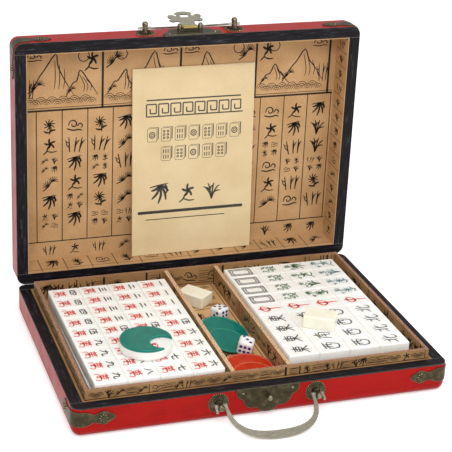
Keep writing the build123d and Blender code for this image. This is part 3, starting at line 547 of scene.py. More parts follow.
rng = random.Random(41)
strip_z = LID_Z[1] - STRIP_H
foot_z = LID_Z[0] + FOOT_H
panel = [
    ruled(-LID_X, foot_z, LID_X, foot_z, 0.9),
    ruled(-LID_X, strip_z, LID_X, strip_z, 1.6),
    ruled(-LID_X, strip_z + 2.2, LID_X, strip_z + 2.2, 0.5),
]
column_x = -LID_X + FIRST_COLUMN
while column_x < LID_X:
    panel.append(ruled(column_x, foot_z, column_x, strip_z, 0.75))
    if column_x + COLUMN_W < LID_X:
        middle = column_x + COLUMN_W / 2
        panel += motif_column(rng, middle, foot_z + 2.0, strip_z - 6.0, MOTIF_H, MOTIF_STEP)
        panel += motif(rng, 9.0, 9.0, middle, LID_Z[0] + 7.0)
    column_x += COLUMN_W
scene_x = -LID_X
side = 1
while scene_x < LID_X - 10:
    scene_end = min(scene_x + SCENE_W, LID_X)
    wide = scene_end - scene_x
    panel.append(ruled(scene_end, strip_z, scene_end, LID_Z[1], 1.8))
    panel += waves(scene_x + 1.0, scene_end - 1.0, strip_z + 7.0, 4.6)
    middle = (scene_x + scene_end) / 2
    if wide > 40:
        high = rng.uniform(28.0, 36.0)
        panel += peaks(rng, middle - side * wide * 0.14, strip_z + 12.0, wide * 0.56, high)
        panel += peaks(rng, middle + side * wide * 0.24, strip_z + 11.0, wide * 0.4, high * 0.62)
        panel += ring(middle + side * wide * 0.26, LID_Z[1] - 9.5, 4.6, 0.8)
    panel += drawn(cloud, 13.0, 9.0, middle - side * wide * 0.36, LID_Z[1] - 9.0)
    panel += drawn(reeds, 9.0, 16.0, middle - side * wide * 0.42, strip_z + 19.0)
    hanging = rng.choice((bamboo, plum, pine))
    panel += drawn(hanging, 13.0, 16.0, middle + side * wide * 0.36, LID_Z[1] - 14.0)
    scene_x = scene_end
    side = -side
LID_PAPER = ("lid", "printed_kraft_paper", ink)
print_on("lid_panel_print", *LID_PAPER, (0, LID_PANEL_Y, 0), panel, up=(0, 0, 1))

WALL_DEPTH = LID_PANEL_Y - LID_RIM_Y
lower_wall = [ruled(-LID_X, 4.0, LID_X, 4.0, 0.5)]
column_x = -LID_X + FIRST_COLUMN
while column_x + COLUMN_W < LID_X:
    lower_wall.append(ruled(column_x, 0.3, column_x, WALL_DEPTH - 0.2, 0.6))
    lower_wall += motif(rng, 12.0, 14.0, column_x + COLUMN_W / 2, WALL_DEPTH * 0.55, 8)
    column_x += COLUMN_W
print_on("lid_lower_wall_print", *LID_PAPER, (0, LID_RIM_Y, LID_WALL_Z), lower_wall)
for word, side in (("left", -1), ("right", 1)):
    strokes = []
    y = LID_Z[0] + 8.0
    while y < LID_Z[1] - 5:
        strokes += motif(rng, 9.0, 8.0, -side * WALL_DEPTH * 0.5, y, 20)
        strokes.append(ruled(-side * 2.0, y + 6.6, -side * (WALL_DEPTH - 2.0), y + 8.4, 0.5))
        y += 13.0
    corner = (side * LID_WALL_X, LID_RIM_Y, 0)
    print_on(f"lid_side_print_{word}", *LID_PAPER, corner, strokes, (0, -side, 0), (0, 0, 1))


# ---- tray print ----
# The tray is folded from board with the same printed paper pasted over every face and
# over its top edges, so its pictures are cut off wherever the board ends.


TRAY_X, TRAY_Y, TRAY_TOP_Z = box_mm("tray_walls")[1]
INNER_X, INNER_Y, FLOOR_Z = box_mm("tray_floor")[1]
divider_low, divider_high = box_mm("tray_divider_right")
DIVIDER_IN = divider_low.x
DIVIDER_OUT = divider_high.x


def frieze(rng, length, height):
    """Cut-off pictures and rules along a strip, from its lower left corner."""
    strokes = [ruled(0, height * 0.16, length, height * 0.16, 0.5)]
    x = 2.0
    while x < length - 2.0:
        kind = rng.random()
        if kind < 0.2 or x > length - 13.0:
            strokes.append(ruled(x, 0.4, x, height - 0.4, rng.choice((0.5, 0.9, 1.8))))
            x += rng.uniform(2.0, 4.0)
        elif kind < 0.4:
            for line in range(5):
                rise = height * (0.26 + 0.13 * line)
                bank = [(x, rise), (x + 4, rise + rng.uniform(-0.5, 0.9)), (x + 10, rise + 0.3)]
                strokes.append(brushed(bank, 0.5))
            x += 8.5
        elif kind < 0.6:
            strokes += waves(x, x + 12.0, height * 0.42, 2.9)
            x += 12.0
        else:
            size = min(height * 0.82, 11.0)
            strokes += motif(rng, size * 1.1, size, x + size / 2, height * 0.52, 15)
            x += size * rng.uniform(0.8, 1.2)
    return strokes


def specks(rng, length, width):
    """Short dark dashes scattered along a narrow edge."""
    strokes = []
    x = 1.0
    while x < length - 2:
        y = rng.uniform(0.15, 0.85) * width
        end = (x + rng.uniform(0.4, 1.8), y + rng.uniform(-0.2, 0.2))
        strokes.append(ruled(x, y, *end, rng.uniform(0.3, 0.7)))
        x += rng.uniform(1.5, 4.5)
    return strokes


WALL_H = TRAY_TOP_Z - FLOOR_Z - 0.6
DIVIDER_H = divider_high.z - FLOOR_Z - 0.4
OUTER_H = 8.6
OUTER_Z = TRAY_TOP_Z - OUTER_H - 0.3
TRAY_BOARD = ("tray", "printed_kraft_board", ink)

# Each printed face of the tray: its name, its lower left corner, the way along it, and its
# length and height.
TRAY_FACES = (
    ("outer_front", (-TRAY_X, -TRAY_Y, OUTER_Z), (1, 0, 0), 2 * TRAY_X, OUTER_H),
    ("outer_back", (TRAY_X, TRAY_Y, OUTER_Z), (-1, 0, 0), 2 * TRAY_X, OUTER_H),
    ("outer_left", (-TRAY_X, TRAY_Y, OUTER_Z), (0, -1, 0), 2 * TRAY_Y, OUTER_H),
    ("outer_right", (TRAY_X, -TRAY_Y, OUTER_Z), (0, 1, 0), 2 * TRAY_Y, OUTER_H),
    ("inner_back", (-INNER_X, INNER_Y, FLOOR_Z), (1, 0, 0), 2 * INNER_X, WALL_H),
    ("inner_front", (INNER_X, -INNER_Y, FLOOR_Z), (-1, 0, 0), 2 * INNER_X, WALL_H),
    ("inner_left", (-INNER_X, -INNER_Y, FLOOR_Z), (0, 1, 0), 2 * INNER_Y, WALL_H),
    ("inner_right", (INNER_X, INNER_Y, FLOOR_Z), (0, -1, 0), 2 * INNER_Y, WALL_H),
    ("divider_1", (-DIVIDER_OUT, INNER_Y, FLOOR_Z), (0, -1, 0), 2 * INNER_Y, DIVIDER_H),
    ("divider_2", (-DIVIDER_IN, -INNER_Y, FLOOR_Z), (0, 1, 0), 2 * INNER_Y, DIVIDER_H),
    ("divider_3", (DIVIDER_IN, INNER_Y, FLOOR_Z), (0, -1, 0), 2 * INNER_Y, DIVIDER_H),
    ("divider_4", (DIVIDER_OUT, -INNER_Y, FLOOR_Z), (0, 1, 0), 2 * INNER_Y, DIVIDER_H),
)
rng = random.Random(17)
for name, corner, across, length, height in TRAY_FACES:
    strip = frieze(rng, length, height)
    print_on(f"tray_print_{name}", *TRAY_BOARD, corner, strip, across, (0, 0, 1))

MIDDLE_RULES_X = (-18.2, 18.4)
MIDDLE_BANKS_Y = (-60.0, -24.0, 14.0, 44.0, 76.0)
FLOOR_MOTIF = 12.0
FLOOR_COLUMN_X = 128.5
FLOOR_COLUMN_W = 21.0
COLUMN_END_Y = 86.0
tray_floor = [ruled(x, -INNER_Y, x, INNER_Y, 0.7) for x in MIDDLE_RULES_X]
for y in MIDDLE_BANKS_Y:
    tray_floor.append(ruled(-17.5, y, 17.5, y + 2.0, 0.6))
    tray_floor += waves(-17.0, 17.0, y + 6.0, 4.0)
    for x in (-9.0, 8.0):
        tray_floor += motif(rng, FLOOR_MOTIF, FLOOR_MOTIF, x, y - 11.0, 20)
for side in (-1, 1):
    for column in range(5):
        x = side * (FLOOR_COLUMN_X - FLOOR_COLUMN_W * column)
        tray_floor.append(ruled(x, -INNER_Y, x, INNER_Y, 0.7))
        middle = x - side * FLOOR_COLUMN_W / 2
        tray_floor += motif_column(rng, middle, -COLUMN_END_Y, COLUMN_END_Y, FLOOR_MOTIF, MOTIF_STEP)
print_on("tray_print_floor", *TRAY_BOARD, (0, 0, FLOOR_Z), tray_floor)

EDGE_W = TRAY_X - INNER_X
DIVIDER_W = DIVIDER_OUT - DIVIDER_IN
DIVIDER_X = (DIVIDER_OUT + DIVIDER_IN) / 2
tray_edges = []
divider_edges = []
for side in (-1, 1):
    row = specks(rng, 2 * TRAY_X, EDGE_W)
    tray_edges += moved(row, -TRAY_X, side * (INNER_Y + EDGE_W / 2) - EDGE_W / 2)
    row = specks(rng, 2 * INNER_Y, EDGE_W)
    tray_edges += moved(row, side * (INNER_X + EDGE_W / 2) + EDGE_W / 2, -INNER_Y, 90)
for side in (-1, 1):
    row = specks(rng, 2 * INNER_Y, DIVIDER_W)
    divider_edges += moved(row, side * DIVIDER_X + DIVIDER_W / 2, -INNER_Y, 90)
print_on("tray_print_top_edges", *TRAY_BOARD, (0, 0, TRAY_TOP_Z), tray_edges)
print_on("tray_print_divider_edges", *TRAY_BOARD, (0, 0, divider_high.z), divider_edges)


# ---- bronze hardware ----
# Brackets, plates and hinges are thin brass, blackened and rubbed back along their
# edges, whose paleness is partly a painted highlight. They are nailed or screwed through the covering.

PATINA = 5.0 * MM

# Brass with an antique bronze patina: a smooth olive brown, greener and paler at its edges,
# partly from wear and partly a painted highlight.
bronze, tree, surface, place = new_material("antiqued_brass_plate")
stops = ((0.3, "#332d20"), (0.55, "#463f2c"), (0.75, "#625a43"))
patina, tone = mottled(tree, place, PATINA, 5.0, stops, roughness=0.55)
colour = edge_wear_and_highlight(tree, tone, 0.6 * MM, 0.7, "#9a9c84")
pits = add_node(tree, "Bump", {"Height": patina, "Distance": 0.05 * MM, "Strength": 0.4})
set_inputs(surface, {"Base Color": colour, "Normal": pits, "Metallic": 0.85, "Roughness": 0.42})
finish_nodes(bronze, "escutcheon", "hasp_plate")

# Nickelled brass on the turned pieces, tarnished brown in patches and bright between them.
nickelled_brass, tree, surface, place = new_material("tarnished_nickelled_brass")
stops = ((0.32, "#443d30"), (0.52, "#7d735e"), (0.75, "#b8ae96"))
tone = mottled(tree, place, 1.8 * MM, 4.0, stops)[1]
set_inputs(surface, {"Base Color": tone, "Metallic": 0.95, "Roughness": 0.26})
finish_nodes(nickelled_brass, "catch_stud", "hasp_posts", "hasp_pin", "hinge_pins")
for shell in ("base", "lid"):
    finish_nodes(bronze, f"{shell}_corner_brackets", f"{shell}_hinge_leaves", f"{shell}_hinge_screws")
    finish_nodes(nickelled_brass, f"{shell}_plate_nails", f"{shell}_handle_posts")

# A dark ink disc on the covering in the empty nail hole near the escutcheon's point: painted shade for
# the hole's depth.
HOLE_R = 0.95
HOLE_DEPTH = 16.1
BASE_FRONT_Y = box_mm("base_side_covering")[0].y
hole_at = (0, BASE_FRONT_Y, box_mm("escutcheon")[1].z - HOLE_DEPTH)
hole = [arc(0, 0, HOLE_R, 0, 22.5, 16)]
print_on("escutcheon_nail_hole_painted_shade", "base", "red_leatherette", ink, hole_at, hole, up=(0, 0, 1))


# ---- rosettes and flower nails ----
# Fluted brass washers under the handle posts and flower-headed nails in the brackets,
# both stamped from sheet, so their ribs and teeth catch the light.

# Stamped brass, blackened in the flutes and paler on the ribs, partly rubbed and partly a painted
# highlight.
stamped_brass, tree, surface, place = new_material("antiqued_brass_stamped")
tone = mottled(tree, place, 2.5 * MM, 4.0, ((0.3, "#2e2b20"), (0.7, "#4a4836")))[1]
colour = edge_wear_and_highlight(tree, tone, 0.4 * MM, 0.6, "#9c9272")
set_inputs(surface, {"Base Color": colour, "Metallic": 0.85, "Roughness": 0.38})

# The same brass on the teeth of the rim: pale and yellow, partly rubbed bare by handling
# and partly a painted glint.
bare_and_glint_brass, tree, surface, place = new_material("brass_worn_bare_and_painted_glint")
tone = mottled(tree, place, 1.5 * MM, 4.0, ((0.35, "#9c8a5a"), (0.65, "#e0cf98")))[1]
set_inputs(surface, {"Base Color": tone, "Metallic": 0.7, "Roughness": 0.35})


# A face is on a tooth where the wave of the ribs, from -1 to 1, is above this.
TOOTH_FROM = 0.4


def stamped(name, body, replaced, places, profile, ribs, shank=None):
    """Round stamped pieces at places, each (centre, outward way); profile rows are a radius,
    a height and how much the ribs change each of them, in millimetres."""
    corners = []
    faces = []
    pale_tooth_faces = set()
    spokes = ribs * 6
    for centre, out in places:
        out = Vector(out)
        side = out.orthogonal().normalized()
        other = out.cross(side)
        centre = Vector(centre)
        rows = list(profile)
        rows.append((profile[-1][0], 0.0, profile[-1][2], 0.0))
        if shank:
            rows += [(shank[0], 0.0, 0.0, 0.0), (shank[0], -shank[1], 0.0, 0.0)]
        start = len(corners)
        for radius, height, rib_radius, rib_height in rows:
            for spoke in range(spokes):
                turn = math.tau * spoke / spokes
                rib = 0.5 + 0.5 * math.cos(ribs * turn)
                r = radius - rib_radius * (1 - rib)
                h = height - rib_height * (1 - rib)
                spoke_way = side * math.cos(turn) + other * math.sin(turn)
                corners.append((centre + spoke_way * r + out * h) * MM)
        for row in range(len(rows) - 1):
            for spoke in range(spokes):
                after = (spoke + 1) % spokes
                here = start + row * spokes
                below = here + spokes
                # Teeth of the outer rows take the pale brass: partly wear, partly a painted glint.
                on_tooth = math.cos(ribs * math.tau * (spoke + 0.5) / spokes) > TOOTH_FROM
                if on_tooth and row >= len(profile) - 2:
                    pale_tooth_faces.add(len(faces))
                faces.append([here + spoke, below + spoke, below + after, here + after])
        faces.append([start + i for i in range(spokes)])
        last = start + (len(rows) - 1) * spokes
        faces.append([last + i for i in reversed(range(spokes))])
    piece = make_piece(name, corners, faces, body, "antique_bronze", stamped_brass, bare_and_glint_brass)
    for face in piece.data.polygons:
        face.material_index = 1 if face.index in pale_tooth_faces else 0
    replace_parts(piece, replaced)


HANDLE_X = 37.6
FLOWER_X = 123.0
FLOWER_Y = 81.0
LID_FLOWER_Z = 208.0
BRACKET_T = 0.8
LID_TOP_Z = box_mm("lid_side_covering")[1].z
END_X = box_mm("base_side_covering")[1].x + BRACKET_T
BASE_ROSETTE_Z = middle_of("base_handle_rosettes").z
LID_ROSETTE_Y = middle_of("lid_handle_rosettes").y
BASE_FLOWER_Z = middle_of("base_flower_nails").z
LID_FLOWER_Y = middle_of("lid_flower_nails").y
ROSETTE_PROFILE = (
    (2.6, 1.0, 0.0, 0.0),
    (3.4, 0.85, 0.0, 0.0),
    (4.2, 1.05, 0.0, 0.3),
    (5.6, 1.15, 0.0, 0.5),
    (7.0, 1.0, 0.0, 0.55),
    (7.7, 0.85, 0.3, 0.5),
    (8.0, 0.5, 0.7, 0.25),
)
FLOWER_PROFILE = (
    (0.5, 0.88, 0.0, 0.0),
    (0.9, 0.8, 0.0, 0.0),
    (1.1, 0.45, 0.0, 0.1),
    (1.7, 0.85, 0.1, 0.5),
    (2.5, 0.8, 0.5, 0.5),
    (3.0, 0.4, 1.0, 0.2),
)
NAIL_SHANK = (0.6, 6.6)
rosettes = {"base": [], "lid": []}
flowers = {"base": [], "lid": []}
for side in (-1, 1):
    rosettes["base"].append(((side * HANDLE_X, BASE_FRONT_Y, BASE_ROSETTE_Z), (0, -1, 0)))
    rosettes["lid"].append(((side * HANDLE_X, LID_ROSETTE_Y, LID_TOP_Z), (0, 0, 1)))
    flowers["base"].append(((side * FLOWER_X, BASE_FRONT_Y - BRACKET_T, BASE_FLOWER_Z), (0, -1, 0)))
    flowers["base"].append(((side * END_X, -FLOWER_Y, BASE_FLOWER_Z), (side, 0, 0)))
    flowers["lid"].append(((side * FLOWER_X, LID_FLOWER_Y, LID_TOP_Z + BRACKET_T), (0, 0, 1)))
    flowers["lid"].append(((side * END_X, LID_FLOWER_Y, LID_FLOWER_Z), (side, 0, 0)))
for shell in ("base", "lid"):
    stamped(
        f"{shell}_fluted_rosettes", shell, f"{shell}_handle_rosettes",
        rosettes[shell], ROSETTE_PROFILE, 30,
    )
for shell in ("base", "lid"):
    stamped(
        f"{shell}_flower_headed_nails", shell, f"{shell}_flower_nails",
        flowers[shell], FLOWER_PROFILE, 8, NAIL_SHANK,
    )


# ---- handles and hasp flap ----
# Each handle is a flat bail cut from nickelled strip, with a pin at each end that turns
# in the eye of a post. The hasp's flap is cut from the same strip, on a brass barrel.

BRUSH_LINE = 0.35 * MM
HASP_AXIS = middle_of("hasp_pin") * MM
BARREL_R = 2.15 * MM
BARREL_HALF_L = 6.0 * MM

# Antiqued nickel on steel strip, brushed along its length: olive grey with fine lines,
# and brass round the flap's barrel, where the nickel has worn through.
nickel, tree, surface, place = new_material("brushed_antique_nickel")
stops = ((0.3, "#868070"), (0.7, "#b8b2a1"))
brush, tone = mottled(tree, place, BRUSH_LINE, 3.0, stops, (0.1, 1.0, 1.0))
from_axis = add_node(tree, "VectorMath", {0: place, 1: HASP_AXIS}, operation="SUBTRACT")
across_axis = add_node(tree, "VectorMath", {0: from_axis, 1: (0.0, 1.0, 1.0)}, operation="MULTIPLY")
distance = add_node(tree, "VectorMath", {0: across_axis}, operation="LENGTH").outputs["Value"]
near_axis = add_node(tree, "Math", {0: distance, 1: BARREL_R}, operation="LESS_THAN")
along = add_node(tree, "SeparateXYZ", {"Vector": place}).outputs["X"]
from_middle = add_node(tree, "Math", {0: along}, operation="ABSOLUTE")
between = add_node(tree, "Math", {0: from_middle, 1: BARREL_HALF_L}, operation="LESS_THAN")
on_barrel = add_node(tree, "Math", {0: near_axis, 1: between}, operation="MULTIPLY")
colour = add_node(tree, "MixRGB", {"Fac": on_barrel, "Color1": tone, "Color2": linear("#a8915a")})
lines = add_node(tree, "Bump", {"Height": brush, "Distance": 0.03 * MM, "Strength": 0.4})
set_inputs(surface, {"Base Color": colour, "Normal": lines, "Metallic": 0.85, "Roughness": 0.32})
finish_nodes(nickel, "base_handle", "lid_handle", "hasp_flap")


# ---- tiles ----
# The tiles are cast resin blocks with tumbled edges, face up in two layers. Their signs
# are engraved and filled with paint: characters on the left, honours and flowers right.

TILE_PITCH = (24.5, 17.3)
TILE_TOP_Z = box_mm("left_upper_tiles")[1].z
PAINT_T = 0.06 * MM
LEFT_BLOCK_AT = middle_of("left_upper_tiles").xy
LEFT_BLOCK_TURN = 0.4
RIGHT_BLOCK_AT = middle_of("right_upper_tiles").xy


def cast_resin(name, deep, pale):
    """Cast resin between two tones, clouded, faintly rippled and translucent."""
    made, tree, surface, place = new_material(name)
    tone = mottled(tree, place, 9 * MM, 3.0, ((0.3, deep), (0.7, pale)))[1]
    ripple = add_node(tree, "TexNoise", {"Vector": place, "Scale": 1 / (3 * MM), "Detail": 2.0})
    wave = add_node(tree, "Bump", {"Height": ripple, "Distance": 0.05 * MM, "Strength": 0.3})
    set_inputs(surface, {"Base Color": tone, "Normal": wave, "Roughness": 0.3, "IOR": 1.52})
    within = {"Weight": 0.4, "Radius": (1.0, 0.95, 0.8), "Scale": 2.0 * MM}
    set_inputs(surface, {f"Subsurface {word}": value for word, value in within.items()})
    return made


# Cast polyester resin, tumbled: a clear white, faintly translucent and softly glossy.
resin = cast_resin("cast_white_resin", "#f4f3ec", "#fbfbf7")
finish_nodes(resin, "left_lower_tiles", "left_upper_tiles", "right_lower_tiles", "right_upper_tiles")

# The same resin in the two loose blanks, which light and handling have turned to ivory.
ivory_resin = cast_resin("cast_ivory_resin", "#f2ecd6", "#faf6e4")
finish_nodes(ivory_resin, "loose_tile", "spare_tile")


def sign_paint(name, deep, thin):
    """Enamel paint in an engraved sign, paler in patches."""
    made, tree, surface, place = new_material(name)
    tone = mottled(tree, place, 1.1 * MM, 4.0, ((0.4, deep), (0.75, thin)))[1]
    set_inputs(surface, {"Base Color": tone, "Roughness": 0.35})
    return made


# Model enamel wiped into the engraving: full colour with worn, paler patches.
red_paint = sign_paint("red_enamel_infill", "#e02019", "#f06a5c")
black_paint = sign_paint("black_enamel_infill", "#1a1b1d", "#4b4e52")
green_paint = sign_paint("green_enamel_infill", "#2a6038", "#67936c")
blue_paint = sign_paint("blue_green_enamel_infill", "#5d8a8b", "#9dbdbd")

# The strokes of each sign, brushed in order on a field of ten by ten about its middle.
SIGNS = {
    "one": (((-4.4, -0.3), (0, 0.1), (4.4, 0.4)),),
    "two": (((-2.6, 2.2), (2.8, 2.7)), ((-4.3, -2.5), (0, -2.2), (4.5, -2.0))),
    "three": (
        ((-3.0, 3.3), (3.2, 3.8)),
        ((-2.4, 0.2), (2.6, 0.6)),
        ((-4.3, -3.3), (0, -3.1), (4.5, -2.9)),
    ),
    "four": (
        ((-3.9, 2.8), (-3.8, 0.0), (-3.4, -3.2)),
        ((-3.9, 2.9), (3.7, 3.3), (3.9, 0.5), (3.4, -3.2)),
        ((-3.4, -2.7), (3.4, -2.5)),
        ((-1.0, 2.8), (-1.3, 0.6), (-2.4, -0.9)),
        ((1.0, 2.9), (1.1, 0.3), (2.8, 0.0)),
    ),
    "five": (
        ((-2.4, 4.6), (-3.2, 2.8), (-4.7, 0.8)),
        ((-3.5, 2.2), (-3.5, -4.7)),
        ((-1.6, 3.2), (4.0, 3.6)),
        ((1.1, 3.3), (0.7, 0.0), (0.2, -3.7)),
        ((-1.2, 0.4), (3.2, 0.7), (2.9, -3.7)),
        ((-2.2, -4.0), (4.8, -3.6)),
    ),
    "six": (
        ((-0.3, 4.8), (0.8, 3.0)),
        ((-4.5, 1.4), (4.6, 2.0)),
        ((-1.0, 0.4), (-1.8, -2.0), (-4.0, -4.4)),
        ((1.0, 0.3), (2.8, -1.8), (4.0, -4.3)),
    ),
    "seven": (
        ((-4.4, 0.2), (4.4, 1.7)), ((-0.4, 4.6), (-0.5, -2.4), (0.9, -3.9), (3.9, -3.7), (4.4, -2.0))
    ),
    "eight": (((-1.2, 3.2), (-1.9, -0.4), (-4.5, -4.2)), ((0.7, 3.9), (1.9, 0.2), (4.7, -4.2))),
    "nine": (
        ((-0.8, 4.7), (-1.2, 0.6), (-4.3, -4.4)),
        ((-3.8, 1.8), (1.9, 2.4), (1.7, -2.6), (2.6, -3.9), (4.5, -3.4), (4.5, -1.8)),
    ),
    "myriad": (
        ((-4.4, 3.3), (4.4, 3.8)),
        ((-1.7, 5.0), (-1.4, 2.4)),
        ((1.8, 5.0), (1.4, 2.5)),
        ((-2.7, 2.3), (-2.4, -0.7)),
        ((-2.7, 2.3), (2.6, 2.5), (2.3, -0.6)),
        ((-2.4, 0.9), (2.3, 1.1)),
        ((-2.4, -0.6), (2.3, -0.4)),
        ((0, 2.3), (0, -3.2)),
        ((-3.9, -1.5), (-4.1, -5.0)),
        ((-3.9, -1.6), (4.0, -1.1), (3.9, -4.4), (2.6, -4.2)),
        ((0, -1.4), (-1.3, -3.3), (1.5, -3.2)),
    ),
    "east": (
        ((-3.7, 3.2), (3.7, 3.6)),
        ((-2.7, 2.0), (-2.4, -0.9)),
        ((-2.7, 2.0), (2.8, 2.3), (2.4, -0.8)),
        ((-2.4, 0.6), (2.4, 0.8)),
        ((-2.3, -0.8), (2.4, -0.7)),
        ((0, 5.0), (0, -4.9)),
        ((-0.3, -1.0), (-1.8, -2.8), (-4.6, -4.4)),
        ((0.4, -1.0), (2.2, -2.8), (4.8, -4.2)),
    ),
    "south": (
        ((-4.4, 2.1), (0, 2.8), (3.8, 3.5)),
        ((0.9, 5.0), (-0.2, 2.9), (-1.8, 1.0)),
        ((-2.8, 1.1), (-3.3, -1.6), (-4.4, -4.4)),
        ((-2.8, 1.2), (1.4, 1.8), (3.6, 0.9), (3.2, -2.2), (2.2, -4.6), (1.0, -3.6)),
        ((-1.2, 0.1), (1.3, 0.3)),
        ((-1.8, -1.6), (1.9, -1.2)),
        ((0.4, 0.9), (0.1, -1.6), (-0.2, -4.0)),
    ),
    "west": (
        ((-4.2, 3.1), (0.2, 3.7), (4.4, 4.3)),
        ((-1.2, 3.5), (-1.3, 1.4), (-2.2, -0.9)),
        ((1.3, 3.8), (1.2, 1.2), (1.6, -0.5), (2.7, -0.5)),
        ((-3.9, 1.3), (-3.5, -1.8), (-2.2, -4.0), (1.8, -4.3), (3.2, -1.8), (4.1, 1.7)),
        ((-3.9, 1.2), (0.0, 1.9), (4.1, 1.8)),
    ),
    "north": (
        ((-1.3, 4.2), (-1.3, -3.6)),
        ((-4.0, 1.2), (-1.4, 1.7)),
        ((-4.7, -3.2), (-1.2, -1.4)),
        ((4.2, 2.8), (1.3, 0.5)),
        ((1.2, 4.5), (1.2, -2.6), (2.2, -3.8), (4.3, -3.4), (4.7, -1.8)),
    ),
    "centre": (
        ((-4.2, 2.4), (-2.6, 0.6), (-1.4, 0.2)),
        ((-4.2, 2.5), (-0.4, 3.7), (4.2, 3.2), (2.8, 0.9)),
        ((-2.6, 0.6), (0.2, 0.2), (3.0, 0.9)),
        ((1.0, 5.0), (0.2, 1.0), (-0.3, -5.0)),
    ),
    "fortune": (
        ((-3.7, 4.2), (-1.4, 3.8), (-4.6, 0.8)),
        ((-3.0, 2.6), (-1.9, 1.8)),
        ((1.2, 4.6), (2.4, 2.6), (4.8, 1.0)),
        ((3.8, 4.2), (2.4, 2.9)),
        ((4.5, 3.0), (3.2, 2.1)),
        ((-3.6, 0.2), (-0.8, 0.5), (-0.9, -1.1), (-3.2, -1.2)),
        ((-3.2, -1.2), (-3.4, -2.5), (-0.7, -2.3), (-1.0, -4.6), (-2.1, -4.2)),
        ((1.0, 0.4), (0.9, -1.2), (0.2, -1.9)),
        ((1.0, 0.5), (3.2, 0.6), (3.3, -1.2), (4.6, -1.0)),
        ((0.5, -2.3), (3.7, -2.1), (2.4, -3.6), (0.3, -4.8)),
        ((1.2, -2.7), (2.8, -3.8), (4.7, -4.8)),
    ),
}


def sign(mark, x, y, turn, wide, tall, weight):
    """One sign's brush strokes at a place, its strokes as heavy as weight in millimetres."""
    strokes = []
    for line in SIGNS[mark]:
        strokes.append(brushed([(px * wide / 10, py * tall / 10) for px, py in line], weight))
    return moved(strokes, x, y, turn)


def block_place(block_at, turn, column, row):
    """Where a tile of an upper layer lies; columns run along +X and rows from the back."""
    x = (column - 1.5) * TILE_PITCH[0]
    y = (4 - row) * TILE_PITCH[1]
    return moved([[(x, y)]], *block_at, turn)[0][0]


def paint_on_tiles(name, body, paint, strokes):
    """Painted signs on the tops of the upper tiles."""
    print_on(name, body, "ivory_resin", paint, (0, 0, TILE_TOP_Z), strokes, thickness=PAINT_T)


CHARACTER_COLUMNS = (
    ["four"] * 4 + ["five"] + ["nine"] * 4,
    ["three"] * 4 + ["five"] * 2 + ["eight"] * 3,
    ["two"] * 4 + ["five"] + ["seven"] * 4,
    ["one"] * 4 + ["five"] + ["six"] * 4,
)
NUMERAL_X = 6.2
MYRIAD_X = -4.6

# The width and height of each kind of sign, and the weight of its brush.
NUMERAL = (9.8, 6.8, 1.15)
MYRIAD = (10.8, 10.6, 0.95)
FORTUNE = (12.0, 13.0, 1.15)
CENTRE = (10.0, 19.0, 1.6)
WIND = (12.0, 14.6, 1.15)

rng = random.Random(8)
numerals = []
characters = []
for column, marks in enumerate(CHARACTER_COLUMNS):
    for row, mark in enumerate(marks):
        x, y = block_place(LEFT_BLOCK_AT, LEFT_BLOCK_TURN, column, row)
        turn = -90 + rng.uniform(-2.5, 2.5)
        numerals += sign(mark, x + NUMERAL_X, y + rng.uniform(-0.3, 0.3), turn, *NUMERAL)
        characters += sign("myriad", x + MYRIAD_X, y + rng.uniform(-0.3, 0.3), turn, *MYRIAD)
paint_on_tiles("left_block_numerals", "left_tiles", black_paint, numerals)
paint_on_tiles("left_block_characters", "left_tiles", red_paint, characters)

winds = []
fortunes = []
centres = []
for row in range(4):
    x, y = block_place(RIGHT_BLOCK_AT, 0, 1, row)
    fortunes += sign("fortune", x, y, 90 + rng.uniform(-3, 3), *FORTUNE)
for column in range(4):
    x, y = block_place(RIGHT_BLOCK_AT, 0, column, 4)
    centres += sign("centre", x + 0.6, y, 90 + rng.uniform(-3, 3), *CENTRE)
WIND_COLUMNS = (["east"] * 4, ["south"] * 3 + ["west"], ["west"] * 4, ["north"] * 4)
for column, marks in enumerate(WIND_COLUMNS):
    for row, mark in enumerate(marks):
        x, y = block_place(RIGHT_BLOCK_AT, 0, column, row + 5)
        winds += sign(mark, x, y, 90 + rng.uniform(-8, 2), *WIND)


def rounded_frame(x, y, length, width, radius, line):
    """A rectangular frame with rounded corners, as four bars and four corner arcs."""
    end = length / 2
    side = width / 2
    strokes = []
    for way in (-1, 1):
        bar_y = y + way * side
        bar_x = x + way * end
        strokes.append(ruled(x - end + radius, bar_y, x + end - radius, bar_y, line))
        strokes.append(ruled(bar_x, y - side + radius, bar_x, y + side - radius, line))
    for corner, (way_x, way_y) in enumerate(((1, 1), (-1, 1), (-1, -1), (1, -1))):
        middle = (x + way_x * (end - radius), y + way_y * (side - radius))
        strokes.append(outline_of(arc(*middle, radius, 90 * corner, 22.5, 5), [line] * 5))
    return strokes


# The white dragon's nested frames and the small ones in its corners, each as its length,
# width, corner radius and line.
DRAGON_FRAMES = ((18.4, 11.8, 0.5, 0.75), (16.6, 10.0, 0.5, 0.35), (14.0, 7.6, 2.6, 0.8))
CORNER_FRAME = (1.5, 1.3, 0.3, 0.4)
CORNER_X = 7.3
CORNER_Y = 4.1

